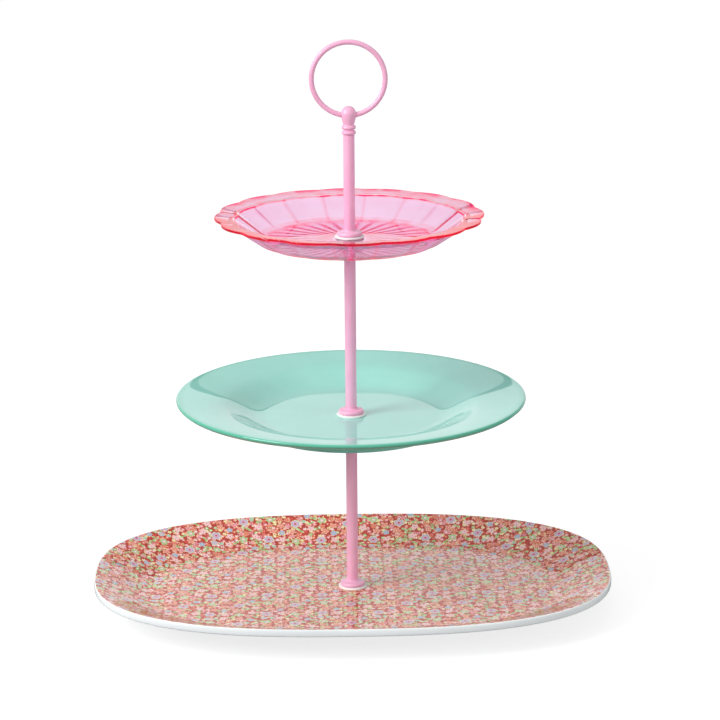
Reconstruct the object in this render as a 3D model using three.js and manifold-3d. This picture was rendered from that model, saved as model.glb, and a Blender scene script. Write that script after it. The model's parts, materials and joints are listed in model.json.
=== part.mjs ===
// Three-tier serving stand: a moulded tray, a round plate and a scalloped clear dish, threaded one
// above another on a rod of three screwed sections, with a turned finial and a ring handle on top.
// Units are millimetres. +Z is up, X runs along the tray, and the origin lies on the floor under
// the rod's axis.
import * as THREE from "three";
import { mergeVertices } from "three/addons/utils/BufferGeometryUtils.js";
import Module from "manifold-3d";

const wasm = await Module();
wasm.setup();

// ---------------------------------------------------------------- driving sizes
const TIER_PITCH = 104.3; // from one tier's serving surface to the next one's
const UPPER_TUBE_LENGTH = 57.5;

const THREAD_DIAMETER = 4; // M4 throughout
const THREAD_PITCH = 0.7;
const THREAD_TURNS = 10; // turns of a stud inside its insert
const INSERT_WALL = 0.57;
const TUBE_WALL = 0.6;
const INSERT_LENGTH = 9;
const STUD_ROOT_LENGTH = 8; // plain shank pressed into a tube's foot

const THREAD_CLEARANCE = 0.05; // radial gaps
const PRESS_CLEARANCE = 0.03;
const WASHER_BORE_CLEARANCE = 0.3;
const TIER_HOLE_CLEARANCE = 0.5;
const BRAZE_GAP = 0.3;

const COLLAR_FLARE = 4.15; // how far the collar's foot stands out from the tube
const COLLAR_HEIGHT = 3.4;
const COLLAR_LIP = 2.4; // height of the rounded foot of the collar
const WASHER_OVERHANG = 0.85; // how far a nylon washer stands out from the collar above it
const NYLON_THICKNESS = 1.2;

const RUBBER_THICKNESS = 1;
const RUBBER_RADIUS = 7.5;
const STEEL_THICKNESS = 0.9;
const STEEL_RADIUS = 6;
const HEAD_HEIGHT = 2.4;
const HEAD_RADIUS = 4.7;
const HEAD_TO_FLOOR = 1.7;
const RECESS = { length: 4.4, width: 0.9, depth: 1.3 };

const TRAY = {
  length: 300,
  width: 200,
  squareness: 2.6, // exponent of the outline's superellipse
  depth: 11.4,
  wallRun: 36, // from the flat well's edge out to the rim
  thickness: 3,
  lip: 4.6, // height of the rim's outer band
  lipRound: 1.2, // rounding of the band's edges
  footInset: 42.5,
  footWidth: 3.5,
};
const PLATE = {
  radius: 100,
  wellRadius: 48,
  wallRun: 23,
  wallRise: 7.4,
  rimRise: 4.9,
  thickness: 3,
  lip: 2.2,
  footRadius: 57,
  footWidth: 3.2,
  footHeight: 2.7,
};
const DISH = {
  radius: 76.2,
  flangeWidth: 10.2,
  flangeRise: 1, // how much the flange climbs from the wall to its edge
  wallRun: 19.5,
  depth: 13.1,
  thickness: 2.5,
  lip: 1.6, // thickness of the flange
  lobes: 16,
  lobePhase: -2.2, // degrees that the lobes are turned from straight back
  flangeScallop: 2.2, // how deep the notches between the lobes are
  wallScallop: 1.5,
  reliefDepth: 0.5, // moulded sunburst under the floor
};

const WIRE_DIAMETER = 2.9;
const RING_MEAN_RADIUS = 20.5;
const BEAD_PROJECTION = 0.85;
const BEAD_HEIGHT = 3.1;
const NECK_LENGTH = 2.85;
const DOME_PROJECTION = 1.05;
const DOME_SKIN = 3.55; // metal above the ring's hole
const FINIAL_STUD_GRIP = 5.5;

const PLATE_SEGMENTS = 48;
const TURNED_SEGMENTS = 24;
const TRAY_SEGMENTS = 60;
const LOBE_SEGMENTS = 4;
const RING_SEGMENTS = [8, 40]; // round the wire, round the ring

// ---------------------------------------------------------------- sizes that follow
const THREAD_RADIUS = THREAD_DIAMETER / 2;
const ENGAGED_LENGTH = THREAD_TURNS * THREAD_PITCH;
const INSERT_BORE = THREAD_RADIUS + THREAD_CLEARANCE;
const INSERT_RADIUS = INSERT_BORE + INSERT_WALL;
const TUBE_BORE = INSERT_RADIUS + PRESS_CLEARANCE;
const TUBE_RADIUS = TUBE_BORE + TUBE_WALL;
const COLLAR_BORE = TUBE_RADIUS + PRESS_CLEARANCE;
const COLLAR_RADIUS = TUBE_RADIUS + COLLAR_FLARE;
const NYLON_RADIUS = COLLAR_RADIUS + WASHER_OVERHANG;
const WASHER_BORE = THREAD_RADIUS + WASHER_BORE_CLEARANCE;
const TIER_HOLE = THREAD_RADIUS + TIER_HOLE_CLEARANCE;
const DOME_RADIUS = TUBE_RADIUS + DOME_PROJECTION;
const WIRE_RADIUS = WIRE_DIAMETER / 2;
const RING_HOLE_RADIUS = WIRE_RADIUS + BRAZE_GAP;

const TRAY_FOOT_HEIGHT = HEAD_TO_FLOOR + HEAD_HEIGHT + STEEL_THICKNESS + RUBBER_THICKNESS;
const TRAY_TOP = TRAY_FOOT_HEIGHT + TRAY.thickness;
const PLATE_TOP = TRAY_TOP + TIER_PITCH;
const DISH_TOP = PLATE_TOP + TIER_PITCH;
const UPPER_FOOT = DISH_TOP + NYLON_THICKNESS;
const FINIAL_FOOT = UPPER_FOOT + UPPER_TUBE_LENGTH;
const NECK_TOP = FINIAL_FOOT + 2 * BEAD_HEIGHT + NECK_LENGTH;
const RING_HOLE_HEIGHT = NECK_TOP + RING_HOLE_RADIUS;
const DOME_TOP = RING_HOLE_HEIGHT + RING_HOLE_RADIUS + DOME_SKIN;

// ---------------------------------------------------------------- finishes
const FINISHES = {
  print: { color: 0xd87f74, roughness: 0.25, metalness: 0 },
  mint: { color: 0x9adacc, roughness: 0.2, metalness: 0 },
  clearPink: { color: 0xf39ab8, roughness: 0.08, metalness: 0, transparent: true, opacity: 0.55 },
  pinkPaint: { color: 0xf3b6d2, roughness: 0.35, metalness: 0.1 },
  nylon: { color: 0xf6f6f4, roughness: 0.5, metalness: 0 },
  rubber: { color: 0xe9e6e0, roughness: 0.8, metalness: 0 },
  steel: { color: 0xb9bcc0, roughness: 0.3, metalness: 1 },
  brass: { color: 0xc9a65a, roughness: 0.3, metalness: 1 },
};

const stand = new THREE.Group();

function add(name, geometry, finish) {
  const mesh = new THREE.Mesh(geometry, new THREE.MeshStandardMaterial(FINISHES[finish]));
  mesh.name = name;
  stand.add(mesh);
}

// ---------------------------------------------------------------- shape helpers
// A turned piece from its half section: [radius, height] points, anticlockwise, closed here.
function turned(section, segments = TURNED_SEGMENTS) {
  const points = [...section, section[0]].map(([r, z]) => new THREE.Vector2(r, z));
  return new THREE.LatheGeometry(points, segments).rotateX(Math.PI / 2);
}

function sleeve(bore, radius, bottom, top) {
  return turned([[bore, bottom], [radius, bottom], [radius, top], [bore, top]]);
}

// Points of an elliptical arc in a half section, angles in degrees from the radial direction.
function arc(centreR, centreZ, halfWidth, halfHeight, from, to, steps) {
  return Array.from({ length: steps + 1 }, (_, i) => {
    const angle = THREE.MathUtils.degToRad(from + ((to - from) * i) / steps);
    return [centreR + halfWidth * Math.cos(angle), centreZ + halfHeight * Math.sin(angle)];
  });
}

// A closed skin over rings of points: each ring joins the next, and the last joins the first.
function lofted(rings) {
  const around = rings[0].length;
  const positions = rings.flat().flatMap((p) => [p.x, p.y, p.z]);
  const index = [];
  rings.forEach((_, k) => {
    const here = k * around;
    const next = ((k + 1) % rings.length) * around;
    for (let i = 0; i < around; i++) {
      const j = (i + 1) % around;
      index.push(here + i, next + j, here + j, here + i, next + i, next + j);
    }
  });
  const skin = new THREE.BufferGeometry();
  skin.setAttribute("position", new THREE.Float32BufferAttribute(positions, 3));
  skin.setIndex(index);
  skin.computeVertexNormals();
  return skin;
}

// A dish wall's rise at u, the share of its run: a hollow curve that goes over into a straight slope.
function wallRise(u, curved = 0.45) {
  const steepness = 1 / (2 * curved - curved * curved);
  return u < curved ? steepness * u * u : steepness * curved * (2 * u - curved);
}

function toSolid(geometry) {
  const plain = geometry.clone();
  plain.deleteAttribute("normal");
  plain.deleteAttribute("uv");
  const merged = mergeVertices(plain, 1e-4);
  const mesh = new wasm.Mesh({
    numProp: 3,
    vertProperties: new Float32Array(merged.attributes.position.array),
    triVerts: new Uint32Array(merged.index.array),
  });
  return new wasm.Manifold(mesh);
}

function cut(body, ...tools) {
  const solid = tools.reduce((left, tool) => left.subtract(toSolid(tool)), toSolid(body));
  const { vertProperties, triVerts } = solid.getMesh();
  const geometry = new THREE.BufferGeometry();
  geometry.setAttribute("position", new THREE.Float32BufferAttribute(vertProperties, 3));
  geometry.setIndex([...triVerts]);
  geometry.computeVertexNormals();
  return geometry;
}

// ---------------------------------------------------------------- tiers
function trayRing(inset, height) {
  const power = 2 / TRAY.squareness;
  const halfLength = TRAY.length / 2 - inset;
  const halfWidth = TRAY.width / 2 - inset;
  return Array.from({ length: TRAY_SEGMENTS }, (_, i) => {
    const angle = (2 * Math.PI * i) / TRAY_SEGMENTS;
    const [c, s] = [Math.cos(angle), Math.sin(angle)];
    const x = halfLength * Math.sign(c) * Math.abs(c) ** power;
    const y = halfWidth * Math.sign(s) * Math.abs(s) ** power;
    return new THREE.Vector3(x, y, height);
  });
}

function roundRing(radius, height, segments) {
  return Array.from({ length: segments }, (_, i) => {
    const angle = (2 * Math.PI * i) / segments;
    return new THREE.Vector3(radius * Math.cos(angle), radius * Math.sin(angle), height);
  });
}

function tray() {
  const wallSteps = [0.25, 0.5, 0.75];
  const rim = TRAY_TOP + TRAY.depth;
  const under = TRAY_TOP - TRAY.thickness;
  const inside = wallSteps.map((u) =>
    trayRing(TRAY.wallRun * (1 - u), TRAY_TOP + TRAY.depth * wallRise(u)),
  );
  const outside = wallSteps.map((u) =>
    trayRing(TRAY.wallRun * (1 - u) + TRAY.lipRound, under + TRAY.depth * wallRise(u)),
  );
  const footOut = TRAY.footInset;
  const footIn = TRAY.footInset + TRAY.footWidth;
  return lofted([
    roundRing(TIER_HOLE, TRAY_TOP, TRAY_SEGMENTS),
    trayRing(TRAY.wallRun, TRAY_TOP),
    ...inside,
    trayRing(TRAY.lipRound, rim),
    trayRing(0, rim - TRAY.lipRound),
    trayRing(TRAY.lipRound / 2, rim - TRAY.lip),
    ...outside.reverse(),
    trayRing(TRAY.wallRun + TRAY.lipRound, under),
    trayRing(footOut, under),
    trayRing(footOut, 0),
    trayRing(footIn, 0),
    trayRing(footIn, under),
    roundRing(TIER_HOLE, under, TRAY_SEGMENTS),
  ]);
}

// The plate's upper face: a flat well, a hollow wall and a broad rim that keeps rising gently.
function plateFace(height) {
  const wall = [0, 0.25, 0.5, 0.75, 1].map((u) => [
    PLATE.wellRadius + PLATE.wallRun * u,
    height + PLATE.wallRise * wallRise(u, 0.6),
  ]);
  const rimStart = PLATE.wellRadius + PLATE.wallRun;
  const rimWidth = PLATE.radius - rimStart;
  const rim = [0.35, 0.7].map((u) => [
    rimStart + rimWidth * u,
    height + PLATE.wallRise + PLATE.rimRise * Math.sin((Math.PI / 2) * u),
  ]);
  return [...wall, ...rim];
}

function plate() {
  const under = PLATE_TOP - PLATE.thickness;
  const edge = PLATE_TOP + PLATE.wallRise + PLATE.rimRise;
  const top = plateFace(PLATE_TOP);
  const bottom = plateFace(under).filter(([r]) => r > PLATE.footRadius);
  const foot = under - PLATE.footHeight;
  return turned(
    [
      [TIER_HOLE, under],
      [PLATE.footRadius - PLATE.footWidth, under],
      [PLATE.footRadius - PLATE.footWidth, foot],
      [PLATE.footRadius, foot],
      ...bottom,
      [PLATE.radius - PLATE.lip / 4, edge - PLATE.lip],
      [PLATE.radius, edge - PLATE.lip / 2],
      [PLATE.radius - PLATE.lip / 2, edge],
      ...top.reverse(),
      [TIER_HOLE, PLATE_TOP],
    ],
    PLATE_SEGMENTS,
  );
}

// A ring of the scalloped dish. The lobes bulge outwards and meet in notches; relief is how far
// the middle of each lobe is moulded downwards.
function dishRing(radius, height, scallop = 0, relief = 0) {
  const around = DISH.lobes * LOBE_SEGMENTS;
  const phase = THREE.MathUtils.degToRad(90 - DISH.lobePhase);
  return Array.from({ length: around }, (_, i) => {
    const bulge = Math.sin((Math.PI * (i % LOBE_SEGMENTS)) / LOBE_SEGMENTS);
    const angle = phase + (2 * Math.PI * (i + LOBE_SEGMENTS / 2)) / around;
    const r = radius - scallop * (1 - bulge);
    return new THREE.Vector3(r * Math.cos(angle), r * Math.sin(angle), height - relief * bulge);
  });
}

function dish() {
  const around = DISH.lobes * LOBE_SEGMENTS;
  const rim = DISH_TOP + DISH.depth;
  const under = DISH_TOP - DISH.thickness;
  const wallTop = DISH.radius - DISH.flangeWidth;
  const shoulder = rim - DISH.flangeRise;
  const climb = (DISH.flangeRise * DISH.lip) / DISH.flangeWidth;
  const wallHeight = DISH.depth - DISH.flangeRise;
  const wallFoot = wallTop - DISH.wallRun;
  const slope = [0.15, 0.45, 0.8];
  const scallopAt = (u) => DISH.wallScallop * (0.35 + 0.65 * u);
  const wall = (offset, height) =>
    slope.map((u) =>
      dishRing(wallFoot + offset + DISH.wallRun * u, height + wallHeight * wallRise(u, 0.3), scallopAt(u)),
    );
  const reliefStart = NYLON_RADIUS + 4;
  const reliefMiddle = (reliefStart + wallFoot) / 2;
  return lofted([
    roundRing(TIER_HOLE, DISH_TOP, around),
    dishRing(wallFoot, DISH_TOP, scallopAt(0)),
    ...wall(0, DISH_TOP),
    dishRing(wallTop, shoulder, DISH.wallScallop),
    dishRing(DISH.radius - DISH.lip / 4, rim, DISH.flangeScallop),
    dishRing(DISH.radius, rim - DISH.lip / 2, DISH.flangeScallop),
    dishRing(DISH.radius - DISH.lip / 4, rim - DISH.lip, DISH.flangeScallop),
    dishRing(wallTop + DISH.lip, shoulder + climb - DISH.lip, DISH.wallScallop),
    ...wall(DISH.lip, under).reverse(),
    dishRing(wallFoot, under, scallopAt(0)),
    dishRing(reliefMiddle, under, 0, DISH.reliefDepth),
    roundRing(reliefStart, under, around),
    roundRing(TIER_HOLE, under, around),
  ]);
}

// ---------------------------------------------------------------- rod fittings
// The flared foot of a tube: a rounded lip, then a hollow curve up to the tube.
function collar(foot) {
  const top = foot + COLLAR_HEIGHT;
  const waist = TUBE_RADIUS + 0.35;
  const shoulder = COLLAR_RADIUS - COLLAR_LIP / 2;
  return turned([
    [COLLAR_BORE, foot],
    ...arc(shoulder, foot + COLLAR_LIP / 2, COLLAR_LIP / 2, COLLAR_LIP / 2, -90, 90, 3),
    ...arc(shoulder, top, shoulder - waist, top - foot - COLLAR_LIP, 255, 180, 2),
    [COLLAR_BORE, top],
  ]);
}

function nylonWasher(bottom) {
  return sleeve(WASHER_BORE, NYLON_RADIUS, bottom, bottom + NYLON_THICKNESS);
}

function insert(bottom) {
  return sleeve(INSERT_BORE, INSERT_RADIUS, bottom, bottom + INSERT_LENGTH);
}

// A stud with a plain root inside the tube above and a threaded end that hangs below the foot.
function stud(foot, hanging) {
  return turned([
    [0, foot - hanging],
    [THREAD_RADIUS, foot - hanging],
    [THREAD_RADIUS, foot],
    [INSERT_RADIUS, foot],
    [INSERT_RADIUS, foot + STUD_ROOT_LENGTH],
    [0, foot + STUD_ROOT_LENGTH],
  ]);
}

// The tube, collar and washers of one section, from its foot to the tube's top.
function rodSection(section, foot, top) {
  add(`${section}_collar`, collar(foot), "pinkPaint");
  add(`${section}_tube`, sleeve(TUBE_BORE, TUBE_RADIUS, foot, top), "pinkPaint");
  add(`${section}_top_insert`, insert(top - INSERT_LENGTH), "brass");
}

// The screw that holds the tray: a domed head with a cross recess, driven up into the lower tube.
function baseScrew(foot) {
  const seat = HEAD_TO_FLOOR + HEAD_HEIGHT;
  const body = turned([
    [0, HEAD_TO_FLOOR],
    ...arc(0, seat - 0.6, HEAD_RADIUS, HEAD_HEIGHT - 0.6, -65, 0, 4),
    [HEAD_RADIUS, seat],
    [THREAD_RADIUS, seat],
    [THREAD_RADIUS, foot + ENGAGED_LENGTH],
    [0, foot + ENGAGED_LENGTH],
  ]);
  const { length, width, depth } = RECESS;
  const slots = [[length, width], [width, length]].map(([x, y]) =>
    new THREE.BoxGeometry(x, y, 2 * depth).translate(0, 0, HEAD_TO_FLOOR),
  );
  return cut(body, ...slots);
}

// ---------------------------------------------------------------- handle
function ringAround(radius) {
  return new THREE.TorusGeometry(RING_MEAN_RADIUS, radius, ...RING_SEGMENTS)
    .rotateX(Math.PI / 2)
    .translate(0, 0, RING_HOLE_HEIGHT + RING_MEAN_RADIUS);
}

function finial() {
  const beadAt = (z) =>
    arc(TUBE_RADIUS, z + BEAD_HEIGHT / 2, BEAD_PROJECTION, BEAD_HEIGHT / 2 - 0.15, -75, 75, 3);
  const domeMiddle = RING_HOLE_HEIGHT + RING_HOLE_RADIUS;
  const body = turned([
    [INSERT_BORE, FINIAL_FOOT],
    [TUBE_RADIUS, FINIAL_FOOT],
    ...beadAt(FINIAL_FOOT),
    ...beadAt(FINIAL_FOOT + BEAD_HEIGHT),
    [TUBE_RADIUS, FINIAL_FOOT + 2 * BEAD_HEIGHT],
    [TUBE_RADIUS, NECK_TOP - 0.4],
    ...arc(0, domeMiddle, DOME_RADIUS, domeMiddle - NECK_TOP, -40, 0, 3),
    ...arc(0, domeMiddle, DOME_RADIUS, DOME_TOP - domeMiddle, 20, 70, 3),
    [0, DOME_TOP],
    [0, FINIAL_FOOT + FINIAL_STUD_GRIP],
    [INSERT_BORE, FINIAL_FOOT + FINIAL_STUD_GRIP],
  ]);
  return cut(body, ringAround(RING_HOLE_RADIUS));
}

function finialStud() {
  const reach = FINIAL_STUD_GRIP - 0.3;
  return turned([
    [0, FINIAL_FOOT - reach],
    [THREAD_RADIUS, FINIAL_FOOT - reach],
    [THREAD_RADIUS, FINIAL_FOOT + reach],
    [0, FINIAL_FOOT + reach],
  ]);
}

// ---------------------------------------------------------------- assembly
// Under the tray, from the floor up.
const lowerFoot = TRAY_TOP + NYLON_THICKNESS;
const steelBottom = HEAD_TO_FLOOR + HEAD_HEIGHT;
const rubberBottom = steelBottom + STEEL_THICKNESS;
add("base_screw", baseScrew(lowerFoot), "steel");
add("base_steel_washer", sleeve(WASHER_BORE, STEEL_RADIUS, steelBottom, rubberBottom), "steel");
add(
  "base_rubber_washer",
  sleeve(WASHER_BORE, RUBBER_RADIUS, rubberBottom, rubberBottom + RUBBER_THICKNESS),
  "rubber",
);
add("tray", tray(), "print");
add("tray_washer", nylonWasher(TRAY_TOP), "nylon");

// Lower section, between the tray and the plate.
const plateUnder = PLATE_TOP - PLATE.thickness;
rodSection("lower", lowerFoot, plateUnder - NYLON_THICKNESS);
add("lower_foot_insert", insert(lowerFoot), "brass");
add("plate_under_washer", nylonWasher(plateUnder - NYLON_THICKNESS), "nylon");
add("plate", plate(), "mint");
add("plate_washer", nylonWasher(PLATE_TOP), "nylon");

// Middle section, between the plate and the dish.
const middleFoot = PLATE_TOP + NYLON_THICKNESS;
const dishUnder = DISH_TOP - DISH.thickness;
rodSection("middle", middleFoot, dishUnder - NYLON_THICKNESS);
add("middle_stud", stud(middleFoot, 2 * NYLON_THICKNESS + PLATE.thickness + ENGAGED_LENGTH), "steel");
add("dish_under_washer", nylonWasher(dishUnder - NYLON_THICKNESS), "nylon");
add("dish", dish(), "clearPink");
add("dish_washer", nylonWasher(DISH_TOP), "nylon");

// Upper section and its handle.
rodSection("upper", UPPER_FOOT, FINIAL_FOOT);
add("upper_stud", stud(UPPER_FOOT, 2 * NYLON_THICKNESS + DISH.thickness + ENGAGED_LENGTH), "steel");
add("finial_stud", finialStud(), "steel");
add("finial", finial(), "pinkPaint");
add("ring_handle", ringAround(WIRE_RADIUS), "pinkPaint");

export default stand;
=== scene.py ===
"""Three-tier serving stand: a flower-printed tray, a mint plate and a scalloped clear pink dish.

The tiers are threaded on a rod of three screwed sections, with a turned finial and a ring handle.
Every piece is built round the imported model's boxes, in metres, and rides on its own body.
"""

import json
import logging
import math
import random
from collections.abc import Sequence
from dataclasses import dataclass, replace
from enum import Enum

import bmesh
import bpy
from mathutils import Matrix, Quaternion, Vector


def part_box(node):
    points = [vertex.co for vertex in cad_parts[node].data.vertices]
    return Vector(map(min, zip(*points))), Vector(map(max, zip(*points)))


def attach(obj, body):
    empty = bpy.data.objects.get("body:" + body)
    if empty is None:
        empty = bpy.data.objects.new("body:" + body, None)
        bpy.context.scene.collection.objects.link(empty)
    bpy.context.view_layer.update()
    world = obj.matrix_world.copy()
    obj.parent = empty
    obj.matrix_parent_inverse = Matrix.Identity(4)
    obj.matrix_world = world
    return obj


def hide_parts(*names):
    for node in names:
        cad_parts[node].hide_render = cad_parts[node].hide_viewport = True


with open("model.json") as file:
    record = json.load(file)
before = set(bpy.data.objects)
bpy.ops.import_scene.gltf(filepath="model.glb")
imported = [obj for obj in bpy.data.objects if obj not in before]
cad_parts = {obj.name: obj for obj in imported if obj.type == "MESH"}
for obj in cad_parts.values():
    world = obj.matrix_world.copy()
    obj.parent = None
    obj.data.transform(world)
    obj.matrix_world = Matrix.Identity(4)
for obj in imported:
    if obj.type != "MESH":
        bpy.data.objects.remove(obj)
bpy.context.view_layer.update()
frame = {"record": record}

logging.basicConfig(level=logging.INFO, format="%(message)s")
log = logging.getLogger("stand")

MM = 0.001
PER_MM = 1000.0
TURN = 2 * math.pi
BODY_OF = {n: body for body, nodes in frame["record"]["behaviour"]["bodies"].items() for n in nodes}

Point = tuple[float, float]
Corner = tuple[float, float, float]
Ring = list[Vector]
ThreadRow = tuple[float, float, float]
Colour = tuple[float, float, float, float]


# ------------------------------------------------------------------ small tools
def linear(hex_colour: str) -> Colour:
    """Turns an sRGB hex colour into a linear one.

    Args:
        hex_colour: Six hex digits, with or without a leading #.

    Returns:
        Red, green, blue and an alpha of 1.
    """
    digits = hex_colour.lstrip("#")
    channels = [int(digits[i : i + 2], 16) / 255 for i in (0, 2, 4)]
    r, g, b = [c / 12.92 if c <= 0.04045 else ((c + 0.055) / 1.055) ** 2.4 for c in channels]
    return (r, g, b, 1.0)


def add_node(tree: bpy.types.NodeTree, kind: str, inputs: dict | None = None, **settings) -> bpy.types.Node:
    """Adds a node to a tree, with its settings, values and links.

    Args:
        tree: The tree that gets the node.
        kind: Blender's name for the node type.
        inputs: Values, output sockets or nodes, for their first output, by the input's name or number.
        **settings: Properties of the node itself.

    Returns:
        The new node.
    """
    node = tree.nodes.new(kind)
    for key, value in settings.items():
        setattr(node, key, value)
    for key, value in (inputs or {}).items():
        if isinstance(value, bpy.types.Node):
            value = value.outputs[0]
        if isinstance(value, bpy.types.NodeSocket):
            tree.links.new(value, node.inputs[key])
        else:
            node.inputs[key].default_value = value
    return node


def set_ramp(node: bpy.types.Node, stops: Sequence[tuple[float, Colour]], mode: str = "LINEAR") -> None:
    """Fills a colour ramp.

    Args:
        node: The ColorRamp node.
        stops: Positions and colours, in order.
        mode: The ramp's interpolation.
    """
    ramp = node.color_ramp
    ramp.interpolation = mode
    while len(ramp.elements) < len(stops):
        ramp.elements.new(0.5)
    for element, (position, colour) in zip(ramp.elements, stops):
        element.position = position
        element.color = colour


@dataclass(frozen=True)
class Span:
    """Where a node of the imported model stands: bottom, top and outer radius, in metres."""

    bottom: float
    top: float
    radius: float

    @classmethod
    def of(cls, node: str) -> "Span":
        """Reads a node's box."""
        low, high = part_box(node)
        return cls(low.z, high.z, (high.x - low.x) / 2)


def rounded(corners: Sequence[Corner], steps: int = 5) -> list[Point]:
    """Rounds the corners of a closed half section.

    Args:
        corners: Radius, height and rounding of each corner, in metres; no rounding keeps it sharp.
        steps: Segments in each rounding.

    Returns:
        The outline's points, in the same order.
    """
    points: list[Point] = []
    for i, (r, z, rounding) in enumerate(corners):
        here = Vector((r, z))
        if rounding <= 0:
            points.append((r, z))
            continue
        before = Vector(corners[i - 1][:2]) - here
        after = Vector(corners[(i + 1) % len(corners)][:2]) - here
        reach = min(rounding, 0.48 * before.length, 0.48 * after.length)
        start = here + before.normalized() * reach
        end = here + after.normalized() * reach
        for k in range(steps + 1):
            t = k / steps
            point = start * (1 - t) ** 2 + here * 2 * t * (1 - t) + end * t**2
            points.append((point.x, point.y))
    return points


def arc(
    r: float, z: float, width: float, height: float, span: tuple[float, float], steps: int
) -> list[Point]:
    """Points of an elliptical arc in a half section.

    Args:
        r: Radius of the arc's centre.
        z: Height of the arc's centre.
        width: Half width of the ellipse.
        height: Half height of the ellipse.
        span: First and last angle, in degrees from straight out.
        steps: Number of segments.

    Returns:
        The points, in metres.
    """
    angles = [math.radians(span[0] + (span[1] - span[0]) * k / steps) for k in range(steps + 1)]
    return [(r + width * math.cos(a), z + height * math.sin(a)) for a in angles]


def wall_rise(u: float, curved: float) -> float:
    """A moulded wall's rise at the share u of its run: hollow up to curved, then straight."""
    steepness = 1 / (2 * curved - curved * curved)
    return steepness * u * u if u < curved else steepness * curved * (2 * u - curved)


def skin(
    name: str,
    rings: Sequence[Ring],
    closed: bool = True,
    bands: Sequence[int] | None = None,
    weights: dict[str, Sequence[float]] | None = None,
) -> bpy.types.Object:
    """Builds one closed mesh through rings of points.

    Args:
        name: Name of the new object.
        rings: Rings in order round the section; a ring of one point is a pole.
        closed: Whether the last ring joins the first.
        bands: Material index of the faces that follow each ring.
        weights: Point attributes, with one value for each ring.

    Returns:
        The new object, at the origin.
    """
    starts = [0]
    for ring in rings:
        starts.append(starts[-1] + len(ring))
    faces: list[tuple[int, ...]] = []
    materials: list[int] = []
    for k in range(len(rings) if closed else len(rings) - 1):
        after = (k + 1) % len(rings)
        here, there = len(rings[k]), len(rings[after])
        for i in range(max(here, there)):
            j = (i + 1) % max(here, there)
            if here == 1:
                face = (starts[k], starts[after] + j, starts[after] + i)
            elif there == 1:
                face = (starts[k] + i, starts[k] + j, starts[after])
            else:
                face = (starts[k] + i, starts[k] + j, starts[after] + j, starts[after] + i)
            faces.append(face)
            materials.append(bands[k] if bands else 0)
    mesh = bpy.data.meshes.new(name)
    mesh.from_pydata([p for ring in rings for p in ring], [], faces)
    mesh.polygons.foreach_set("material_index", materials)
    for key, values in (weights or {}).items():
        attribute = mesh.attributes.new(key, "FLOAT", "POINT")
        attribute.data.foreach_set("value", [v for ring, v in zip(rings, values) for _ in ring])
    shell = bmesh.new()
    shell.from_mesh(mesh)
    bmesh.ops.recalc_face_normals(shell, faces=shell.faces)
    shell.to_mesh(mesh)
    shell.free()
    piece = bpy.data.objects.new(name, mesh)
    bpy.context.scene.collection.objects.link(piece)
    return piece


def circle(radius: float, height: float, count: int) -> Ring:
    """A level ring of points; a radius of nothing gives a pole."""
    if radius < 1e-7:
        return [Vector((0, 0, height))]
    angles = [TURN * i / count for i in range(count)]
    return [Vector((radius * math.cos(a), radius * math.sin(a), height)) for a in angles]


def turned(
    name: str,
    outline: Sequence[Point],
    segments: int = 64,
    weights: dict[str, Sequence[float]] | None = None,
) -> bpy.types.Object:
    """Builds a turned piece from its half section.

    Args:
        name: Name of the new object.
        outline: Radius and height of each point; it starts and ends on the axis or closes on itself.
        segments: Number of sides.
        weights: Point attributes, with one value for each point of the outline.

    Returns:
        The new object.
    """
    rings = [circle(r, z, segments) for r, z in outline]
    return skin(name, rings, closed=len(rings[0]) > 1, weights=weights)


def sleeve(bore: float, radius: float, bottom: float, top: float, edge: float) -> list[Point]:
    """Half section of a ring or tube with rounded outer edges."""
    return rounded(
        [(bore, bottom, edge / 2), (radius, bottom, edge), (radius, top, edge), (bore, top, edge / 2)]
    )


def smooth(piece: bpy.types.Object, sharp_degrees: float = 38) -> None:
    """Shades a piece smooth, and keeps edges steeper than the given angle crisp."""
    piece.data.shade_smooth()
    piece.data.set_sharp_from_angle(angle=math.radians(sharp_degrees))


def shape_with(piece: bpy.types.Object, tree: bpy.types.NodeTree, values: dict[str, object]) -> None:
    """Runs a Geometry Nodes tree on a piece and keeps the result as its plain mesh.

    Args:
        piece: The object to shape.
        tree: The tree.
        values: The tree's inputs, by name.
    """
    modifier = piece.modifiers.new(tree.name, "NODES")
    modifier.node_group = tree
    for item in tree.interface.items_tree:
        if item.item_type == "SOCKET" and item.in_out == "INPUT" and item.name in values:
            modifier[item.identifier] = values[item.name]
    graph = bpy.context.evaluated_depsgraph_get()
    result = bpy.data.meshes.new_from_object(piece.evaluated_get(graph), depsgraph=graph)
    piece.modifiers.remove(modifier)
    result.name = piece.data.name
    piece.data = result


def stand_in(piece: bpy.types.Object, node: str, finish: "Finish") -> bpy.types.Object:
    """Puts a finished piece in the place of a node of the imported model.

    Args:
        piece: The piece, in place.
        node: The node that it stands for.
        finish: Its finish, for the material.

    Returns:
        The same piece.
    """
    if not piece.data.materials:
        piece.data.materials.append(finish.material())
    elif piece.data.materials[0] is None:
        piece.data.materials[0] = finish.material()
    smooth(piece)
    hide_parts(node)
    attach(piece, BODY_OF[node])
    log.info("%s: %d faces, rides on %s", piece.name, len(piece.data.polygons), BODY_OF[node])
    return piece


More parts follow.
